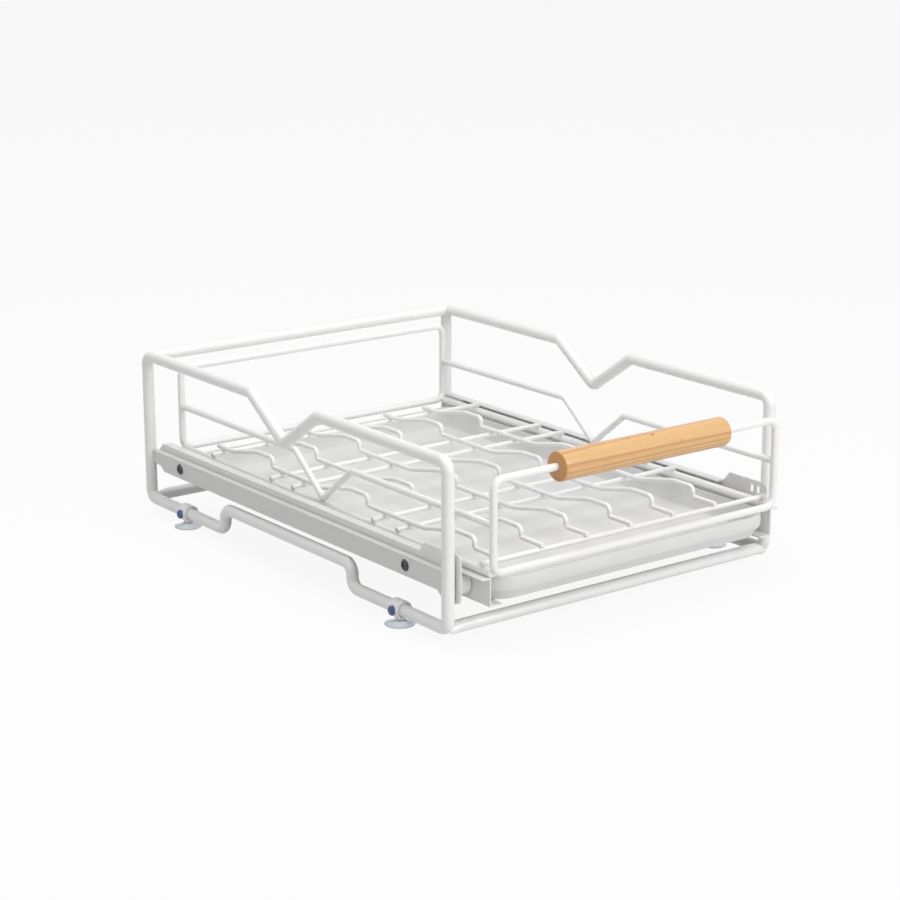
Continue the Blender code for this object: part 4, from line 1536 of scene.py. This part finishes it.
    def dimple(self, place: Vector, heading: Vector) -> bmesh.types.BMesh:
        """Turn the raised rim that the press leaves round a screw's hole.

        Args:
            place: Middle of the rim's foot.
            heading: Direction that the rim rises in.

        Returns:
            The closed rim.
        """
        inner, outer = self.screw_head + self.dimple_gap, self.screw_head + self.dimple_reach
        rise = self.dimple_rise
        profile = [(inner, 0.0), (inner, rise * self.dimple_wall)]
        for step in range(1, self.dimple_steps):
            share = step / self.dimple_steps
            height = rise * math.cos(math.pi / 2 * share) ** self.dimple_curve
            profile.append((inner + (outer - inner) * share, height))
        profile.append((outer, 0.0))
        return Turning(profile, ring=True).build(place, heading)

    def build_screws(self) -> None:
        """Put the four screws through strip and channel."""
        for side in Side:
            for end in End:
                tag = f"{side.tag}_{end.tag}"
                x = side.value * (self.strip_x + self.screw_stand)
                place = Vector((x, end.value * self.screw_y + self.middle_y, self.screw_z))
                heading = Vector((side.value, 0, 0))
                screw_fit = Fitting("frame", Slot.SCREW, (f"{tag}_screw",))
                add_piece(f"pan_screw_{tag}", self.screw(place, heading), self.finishes.black, screw_fit)
                dimple = self.dimple(place - heading * self.dimple_sink, heading)
                dimple_fit = Fitting("frame", Slot.SLIDE_SHEET)
                # The rims wear the strips' darker copy of the coat, with its painted shade.
                add_piece(f"screw_dimple_{tag}", dimple, self.finishes.strip, dimple_fit)

    def build_rollers(self) -> None:
        """Hang the fixed rollers on the raised plates, their pins pointing inward."""
        collar_end = self.sheet + self.gap + self.collar
        tyre_x = self.channel_x - collar_end - self.gap
        roller = Roller(width=tyre_x - (self.rail_x + self.rail_gap))
        y = self.roller_y + self.middle_y
        axle = Axle(self.channel_x, tyre_x, y, self.roller_z, collar_end, outward=-1)
        roller.add_pair(self.finishes, End.FRONT, "frame", axle)

    def build(self) -> None:
        """Build the fixed half of both slides."""
        self.build_sheets()
        self.build_screws()
        self.build_rollers()


@dataclass
class WireDrawer:
    """The sliding basket: end loops, side wires, floor wires, dividers and rails."""

    finishes: Finishes
    nodes: dict[str, bpy.types.Object]
    middle_y: float = -7.25 * MM
    drawer_x: float = 143.4 * MM
    end_y: float = 220.95 * MM
    floor_z: float = 59.4 * MM
    top_z: float = 131.2 * MM
    loop_wire: float = 3.0 * MM
    loop_bend: float = 8.5 * MM
    side_wire: float = 2.7 * MM
    side_rise: float = 37.4 * MM
    notch_half: float = 40.3 * MM
    notch_shoulder: float = 6.5 * MM
    notch_tip: float = 3.3 * MM
    cross_wire: float = 2.0 * MM
    cross_reach: float = 146.0 * MM
    cross_z: float = 64.7 * MM
    cross_places: tuple[float, ...] = tuple(
        value * MM for value in (167.4, 75.4, 42.9, -71.3, -103.8, -209.55)
    )
    divider_z: float = 69.0 * MM
    divider_wire: float = 2.0 * MM
    divider_first: float = -134.0 * MM
    divider_spacing: float = 44.3 * MM
    divider_count: int = 6
    divider_rear: float = 176.0 * MM
    divider_front: float = -212.75 * MM
    fin_first: float = 86.4 * MM
    fin_pitch: float = 138.0 * MM
    fin_count: int = 3
    fin_height: float = 8.2 * MM
    fin_ramp: float = 66.0 * MM
    fin_crest: float = 26.0 * MM
    fin_undercut: float = 4.0 * MM
    fin_sweep: float = 30.0 * MM
    fin_nose: float = 4.5 * MM
    fin_heel: float = 2.4 * MM
    touch: float = 0.3 * MM
    roller_y: float = 202.45 * MM
    roller_z: float = 51.6 * MM
    channel_inner: float = 157.0 * MM
    channel_gap: float = 1.7 * MM
    hub_gap: float = 0.5 * MM
    rail_ease: float = 0.35 * MM
    divider_spot: tuple[float, float, float] = (1.5 * MM, 1.5 * MM, 0.75 * MM)
    cross_spot: tuple[float, float, float] = (1.7 * MM, 1.6 * MM, 0.8 * MM)
    floor_spot: tuple[float, float, float] = (2.9 * MM, 1.2 * MM, 2.9 * MM)
    notch_spot: tuple[float, float, float] = (2.75 * MM, 1.2 * MM, 2.75 * MM)

    def wire(
        self,
        name: str,
        node: str,
        corners: list[Corner],
        radius: float,
        closed: bool = False,
        sides: int = 20,
    ) -> None:
        """Bend one wire and add it as a piece.

        Args:
            name: Piece name.
            node: Solid that the wire stands for.
            corners: Corners of its centre line.
            radius: Half the wire's thickness.
            closed: Whether the wire is a closed loop.
            sides: Facets round the wire.
        """
        bar = BentBar(corners, radius, closed=closed, sides=sides)
        add_piece(name, bar.build(), self.finishes.coat, Fitting("drawer", Slot.DRAWER_WIRE, (node,)))

    def build_loops(self) -> None:
        """Bend the front and rear loops."""
        low, high, wide = self.floor_z, self.top_z, self.drawer_x
        for end in End:
            y = end.value * self.end_y + self.middle_y
            places = ((-wide, low), (wide, low), (wide, high), (-wide, high))
            corners = [Corner(Vector((x, y, z)), self.loop_bend) for x, z in places]
            self.wire(
                f"{end.tag}_loop_wire",
                f"drawer_{end.tag}_loop",
                corners,
                self.loop_wire,
                closed=True,
                sides=24,
            )

    def build_side_wires(self) -> None:
        """Run the floor wires and the notched side wires between the loops."""
        reach = self.end_y - self.loop_wire / 2
        wire_z = self.floor_z + self.side_rise
        tip_z = self.floor_z + self.loop_wire + self.touch + self.side_wire
        slope = math.atan2(wire_z - tip_z, self.notch_half)
        drop = self.notch_tip / math.cos(slope) - self.notch_tip
        notched = (
            (reach, wire_z, 0.0),
            (self.notch_half, wire_z, self.notch_shoulder),
            (0.0, tip_z - drop, self.notch_tip),
            (-self.notch_half, wire_z, self.notch_shoulder),
            (-reach, wire_z, 0.0),
        )
        for side in Side:
            x, tag = side.value * self.drawer_x, side.tag
            straight = [Corner(Vector((x, y + self.middle_y, self.floor_z))) for y in (-reach, reach)]
            self.wire(f"floor_edge_wire_{tag}", f"{tag}_floor_wire", straight, self.loop_wire, sides=24)
            corners = [Corner(Vector((x, y + self.middle_y, z)), radius) for y, z, radius in notched]
            self.wire(f"notched_wire_{tag}", f"{tag}_notch_wire", corners, self.side_wire, sides=24)

    def build_cross_wires(self) -> None:
        """Lay the cross wires on the floor wires."""
        reach = self.cross_reach
        for number, y in enumerate(self.cross_places, start=1):
            corners = [Corner(Vector((x, y + self.middle_y, self.cross_z))) for x in (-reach, reach)]
            self.wire(f"floor_cross_wire_{number}", f"cross_wire_{number}", corners, self.cross_wire)

    def divider_corners(self, x: float) -> list[Corner]:
        """Give the corners of one divider: a ramp, a crest and a hooked drop for each fin.

        Args:
            x: X of the divider.

        Returns:
            The corners in order, with their bends.
        """
        outline = [(self.divider_rear, 0.0, 0.0)]
        for fin in range(self.fin_count):
            nose = self.fin_first - fin * self.fin_pitch
            outline += [
                (nose + self.fin_ramp, 0.0, self.fin_sweep),
                (nose + self.fin_crest, self.fin_height, self.fin_sweep),
                (nose, self.fin_height, self.fin_nose),
                (nose + self.fin_undercut, 0.0, self.fin_heel),
            ]
        outline.append((self.divider_front, 0.0, 0.0))
        return [
            Corner(Vector((x, y + self.middle_y, self.divider_z + z)), radius)
            for y, z, radius in outline
        ]

    def divider_x(self, index: int) -> float:
        """Give the X of one divider."""
        return self.divider_first + index * self.divider_spacing

    def build_dividers(self) -> None:
        """Bend the wavy dividers."""
        for index in range(self.divider_count):
            corners = self.divider_corners(self.divider_x(index))
            self.wire(f"wavy_divider_{index + 1}", f"divider_wire_{index + 1}", corners, self.divider_wire)

    def weld_spot(self, place: Vector, size: tuple[float, float, float]) -> bmesh.types.BMesh:
        """Make a coated resistance weld: a flat nugget where two wires have sunk together.

        Args:
            place: Middle of the nugget.
            size: Its half lengths along X, Y and Z.

        Returns:
            The closed nugget.
        """
        shape = bmesh.new()
        bmesh.ops.create_uvsphere(shape, u_segments=14, v_segments=8, radius=1.0)
        matrix = Matrix.Translation(place) @ Matrix.Diagonal((*size, 1))
        bmesh.ops.transform(shape, verts=shape.verts, matrix=matrix)
        return shape

    def build_weld_spots(self) -> None:
        """Weld dividers to cross wires, cross wires to floor wires and side wires to loops."""
        spots = []
        low_seam = (self.floor_z + self.loop_wire + self.cross_z - self.cross_wire) / 2
        high_seam = (self.cross_z + self.divider_z) / 2
        for y in self.cross_places:
            world_y = y + self.middle_y
            for index in range(self.divider_count):
                if self.touches(y):
                    place = Vector((self.divider_x(index), world_y, high_seam))
                    spots.append(self.weld_spot(place, self.divider_spot))
            for side in Side:
                place = Vector((side.value * self.drawer_x, world_y, low_seam))
                spots.append(self.weld_spot(place, self.cross_spot))
        ends = ((self.floor_z, self.floor_spot), (self.floor_z + self.side_rise, self.notch_spot))
        for side in Side:
            for end in End:
                x = side.value * self.drawer_x
                y = end.value * (self.end_y - self.loop_wire) + self.middle_y
                spots += [self.weld_spot(Vector((x, y, z)), size) for z, size in ends]
        fitting = Fitting("drawer", Slot.DRAWER_WIRE)
        add_piece("drawer_weld_spots", join_shapes(spots), self.finishes.coat, fitting, smooth=80.0)

    def touches(self, y: float) -> bool:
        """Tell whether the dividers lie low, and so touch a cross wire, at a place along the drawer.

        Args:
            y: Place along the drawer.

        Returns:
            Whether they touch a cross wire there.
        """
        for fin in range(self.fin_count):
            nose = self.fin_first - fin * self.fin_pitch
            if nose < y < nose + self.fin_ramp:
                return False
        return True

    def build_rails(self) -> None:
        """Ease the edges of the drawer rails."""
        for side in Side:
            node = f"{side.tag}_drawer_rail"
            fitting = Fitting("drawer", Slot.SLIDE_SHEET, (node,))
            name = f"drawer_rail_sheet_{side.tag}"
            eased_copy(self.nodes[node], name, self.finishes.sheet, fitting, self.rail_ease)

    def build_rollers(self) -> None:
        """Hang the rear rollers, which run inside the channels, their pins pointing outward."""
        tyre_x = self.drawer_x + self.loop_wire + self.hub_gap
        collar_end = tyre_x - self.touch - self.drawer_x
        roller = Roller(width=self.channel_inner - self.channel_gap - tyre_x)
        y = self.roller_y + self.middle_y
        axle = Axle(self.drawer_x, tyre_x, y, self.roller_z, collar_end, outward=1)
        roller.add_pair(self.finishes, End.REAR, "drawer", axle)

    def build(self) -> None:
        """Build the whole drawer."""
        self.build_loops()
        self.build_side_wires()
        self.build_cross_wires()
        self.build_dividers()
        self.build_weld_spots()
        self.build_rails()
        self.build_rollers()


@dataclass
class WoodHandle:
    """A turned sleeve on the front loop's top wire."""

    wood: bpy.types.Material
    place: Vector = field(default_factory=lambda: Vector((0, -228.2 * MM, 131.2 * MM)))
    length: float = 168.0 * MM
    radius: float = 11.7 * MM
    bore: float = 3.3 * MM
    chamfer: float = 1.2 * MM
    edge_back: float = 0.25
    edge_down: float = 0.4
    stations: int = 36
    sanded_off: float = 0.05 * MM
    sanding: float = 0.04 * MM
    sanding_waves: float = 9.0

    def build(self) -> None:
        """Turn the sleeve: broken edges, and a barely uneven surface from sanding."""
        half, edge = self.length / 2, self.chamfer
        rim, shoulder = self.radius - edge, self.radius - edge * self.edge_back
        down = edge * self.edge_down
        profile = [(self.bore, -half), (rim, -half), (shoulder, -half + down)]
        for step in range(self.stations + 1):
            share = step / self.stations
            wave = math.sin(share * self.sanding_waves) * math.sin(share * math.pi)
            along = -half + edge + (self.length - 2 * edge) * share
            profile.append((self.radius - self.sanded_off + self.sanding * wave, along))
        profile += [(shoulder, half - down), (rim, half), (self.bore, half)]
        shape = Turning(profile, ring=True, segments=72).build(self.place, Vector((1, 0, 0)))
        fitting = Fitting("handle", Slot.HANDLE_WOOD, ("wood_handle",))
        add_piece("turned_wood_sleeve", shape, self.wood, fitting, smooth=50.0)


@dataclass
class DripTray:
    """A shallow moulded tray with a bull-nosed rim between the drawer rails."""

    # Its plastic is toned grey, which paints shade on the white moulding.
    plastic: bpy.types.Material
    middle_y: float = -7.25 * MM
    half_width: float = 142.8 * MM
    front: float = -223.35 * MM
    rear: float = 212.45 * MM
    floor_z: float = 34.7 * MM
    height: float = 19.7 * MM
    lip_height: float = 11.8 * MM
    wall: float = 1.8 * MM
    lip: float = 2.4 * MM
    draft: float = 3.6 * MM
    step: float = 1.4 * MM
    nose: float = 1.2 * MM
    nose_curve: tuple[tuple[float, float], ...] = ((0.35, 0.22), (0.0, 0.5), (0.35, 0.78))
    crease: float = 0.25 * MM
    ease: float = 0.55 * MM
    front_draft: float = 8.0 * MM
    front_radius: float = 24.0 * MM
    rear_radius: float = 10.0 * MM
    corner_segments: int = 14

    def level(
        self,
        shape: bmesh.types.BMesh,
        half: float,
        front: float,
        rear: float,
        z: float,
        inset: float,
    ) -> Edges:
        """Draw one rounded outline of the tray.

        Args:
            shape: Shape that gets the outline.
            half: Half the outline's width.
            front: Y of its front.
            rear: Y of its rear.
            z: Height of the outline.
            inset: How much its corner radii are reduced.

        Returns:
            The edges of the outline.
        """
        before = set(shape.edges)
        corners = ((-half, front), (half, front), (half, rear), (-half, rear))
        verts = [shape.verts.new((x, y + self.middle_y, z)) for x, y in corners]
        shape.faces.new(verts)
        for pair, radius in ((verts[:2], self.front_radius), (verts[2:], self.rear_radius)):
            bmesh.ops.bevel(
                shape,
                geom=pair,
                offset=radius - inset,
                segments=self.corner_segments,
                profile=0.5,
                affect="VERTICES",
                material=-1,
            )
        return [edge for edge in shape.edges if edge not in before]

    def build(self) -> None:
        """Stack the outlines, bridge them, and round the moulding's edges."""
        rim = self.floor_z + self.height
        low = rim - self.lip_height
        wide, body, narrow = self.half_width, self.half_width - self.step, self.half_width - self.draft
        front, rear, wall, lip, step, nose = self.front, self.rear, self.wall, self.lip, self.step, self.nose
        foot = front + self.front_draft
        bull_nose = [
            (wide, front + nose * back, rear, low + self.lip_height * up, 0.0)
            for back, up in self.nose_curve
        ]
        levels = (
            (narrow, foot, rear - self.draft, self.floor_z, self.draft),
            (body, front + step + nose, rear - step, low, step),
            (wide, front + nose, rear, low + self.crease, 0.0),
            *bull_nose,
            (wide, front + nose, rear, rim, 0.0),
            (wide - lip, front + nose + lip, rear - lip, rim - self.crease, lip),
            (body - wall, front + step + nose + lip, rear - step - wall, low, lip),
            (narrow - wall, foot + wall, rear - self.draft - wall, self.floor_z + wall, self.draft + wall),
        )
        shape = bmesh.new()
        outlines = [self.level(shape, *level) for level in levels]
        spare = [face for outline in outlines[1:-1] for face in outline[0].link_faces]
        bmesh.ops.delete(shape, geom=spare, context="FACES_ONLY")
        for lower, upper in zip(outlines, outlines[1:]):
            bmesh.ops.bridge_loops(shape, edges=lower + upper)
        bmesh.ops.recalc_face_normals(shape, faces=shape.faces)
        fitting = Fitting("tray", Slot.TRAY_PLASTIC, ("drip_tray",))
        piece = add_piece("moulded_tray", shape, self.plastic, fitting, smooth=50.0)
        round_edges(piece, "moulded_edges", self.ease, least=24.0)


def seen_ray(tree: bpy.types.NodeTree) -> bpy.types.NodeSocket:
    """Tell rays that show a surface from rays that light one.

    Args:
        tree: Node tree that asks.

    Returns:
        One for camera, glossy and transmission rays, otherwise zero.
    """
    path = add_node(tree, Kind.LIGHT_PATH)
    direct = add_node(
        tree,
        Kind.MATH,
        {"operation": "MAXIMUM"},
        {0: path.outputs["Is Camera Ray"], 1: path.outputs["Is Glossy Ray"]},
    )
    seen = add_node(
        tree,
        Kind.MATH,
        {"operation": "MAXIMUM"},
        {0: direct.outputs[0], 1: path.outputs["Is Transmission Ray"]},
    )
    return seen.outputs[0]


@dataclass(frozen=True)
class Lamp:
    """A square soft box: its place, the length of its side in metres and its power in watts."""

    name: str
    place: tuple[float, float, float]
    size: float
    power: float


@dataclass
class Studio:
    """Pale floor, soft lights and the camera."""

    camera_place: tuple[float, float, float] = (-1.12040, -1.46211, 0.58852)
    azimuth: float = 37.219
    pitch: float = 15.4395
    lens: float = 90.464
    aim: tuple[float, float, float] = (0.0, 0.0, 0.06)
    floor: str = "#DCDCDC"
    floor_half: float = 12.0
    floor_gap: float = 0.3 * MM
    white: str = "#FFFFFF"
    floor_white: float = 0.92
    fill: float = 0.27
    lamps: tuple[Lamp, ...] = (
        Lamp("key_box", (0.4, -2.0, 1.05), 1.2, 25.0),
        Lamp("top_box", (-0.1, 0.2, 1.9), 1.4, 20.0),
        Lamp("left_fill", (-1.5, -0.6, 1.7), 1.2, 6.0),
    )

    def build_camera(self) -> None:
        """Stand the camera where the photograph's was, pitched down and unshifted."""
        data = bpy.data.cameras.new("camera")
        data.sensor_width = 36.0
        data.lens = self.lens
        data.clip_end = 50.0
        camera = bpy.data.objects.new("camera", data)
        camera.location = self.camera_place
        camera.rotation_euler = (math.pi / 2 - math.radians(self.pitch), 0.0, -math.radians(self.azimuth))
        bpy.context.scene.collection.objects.link(camera)
        bpy.context.scene.camera = camera

    def build_floor(self) -> None:
        """Lay a pale floor that stays white to the camera and keeps a faint shadow."""
        shape = bmesh.new()
        bmesh.ops.create_grid(shape, x_segments=1, y_segments=1, size=self.floor_half)
        bmesh.ops.translate(shape, verts=shape.verts, vec=(0, 0, -self.floor_gap))
        mesh = bpy.data.meshes.new("studio_floor")
        shape.to_mesh(mesh)
        shape.free()
        material = bpy.data.materials.new("studio_paper")
        material.use_nodes = True
        tree = material.node_tree
        tree.nodes.clear()
        diffuse = add_node(tree, Kind.DIFFUSE, {"Color": linear(self.floor)})
        white = add_node(tree, Kind.EMISSION, {"Color": linear(self.white), "Strength": 1.0})
        share = add_node(tree, Kind.MATH, {"operation": "MULTIPLY", 1: self.floor_white}, {0: seen_ray(tree)})
        mixed = add_node(
            tree,
            Kind.MIX_SHADER,
            None,
            {0: share.outputs[0], 1: diffuse.outputs[0], 2: white.outputs[0]},
        )
        add_node(tree, Kind.MATERIAL_OUTPUT, None, {0: mixed.outputs[0]})
        mesh.materials.append(material)
        floor = bpy.data.objects.new("studio_floor", mesh)
        bpy.context.scene.collection.objects.link(floor)

    def build_world(self) -> None:
        """Even pale surroundings: white where seen, dimmer where they light the rack."""
        world = bpy.data.worlds.new("studio_world")
        bpy.context.scene.world = world
        world.use_nodes = True
        tree = world.node_tree
        tree.nodes.clear()
        fill = add_node(tree, Kind.BACKGROUND, {"Color": linear(self.white), "Strength": self.fill})
        seen = add_node(tree, Kind.BACKGROUND, {"Color": linear(self.white), "Strength": 1.0})
        mixed = add_node(
            tree,
            Kind.MIX_SHADER,
            None,
            {0: seen_ray(tree), 1: fill.outputs[0], 2: seen.outputs[0]},
        )
        add_node(tree, Kind.WORLD_OUTPUT, None, {0: mixed.outputs[0]})

    def build_lamps(self) -> None:
        """Hang the soft boxes, aimed at the rack: key in front, one above, weak fill on the left."""
        for lamp in self.lamps:
            data = bpy.data.lights.new(lamp.name, "AREA")
            data.size = lamp.size
            data.energy = lamp.power
            box = bpy.data.objects.new(lamp.name, data)
            box.location = lamp.place
            aim = Vector(self.aim) - Vector(lamp.place)
            box.rotation_euler = aim.to_track_quat("-Z", "Y").to_euler()
            bpy.context.scene.collection.objects.link(box)

    def build(self) -> None:
        """Set the whole studio."""
        bpy.context.scene.view_settings.view_transform = "Standard"
        self.build_camera()
        self.build_floor()
        self.build_world()
        self.build_lamps()


def main() -> None:
    """Load the frame and dress every sub-assembly."""
    logging.basicConfig(level=logging.INFO, format="%(name)s %(message)s")
    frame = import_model()
    nodes = frame["nodes"]
    finishes = Finishes.make_all()
    Studio().build()
    TubeFrame(finishes.coat).build()
    SuctionFeet(finishes.nylon, finishes.blue, finishes.clear).build()
    RollerSlides(finishes, nodes).build()
    WireDrawer(finishes, nodes).build()
    WoodHandle(finishes.wood).build()
    DripTray(finishes.tray).build()


if __name__ == "__main__":
    main()
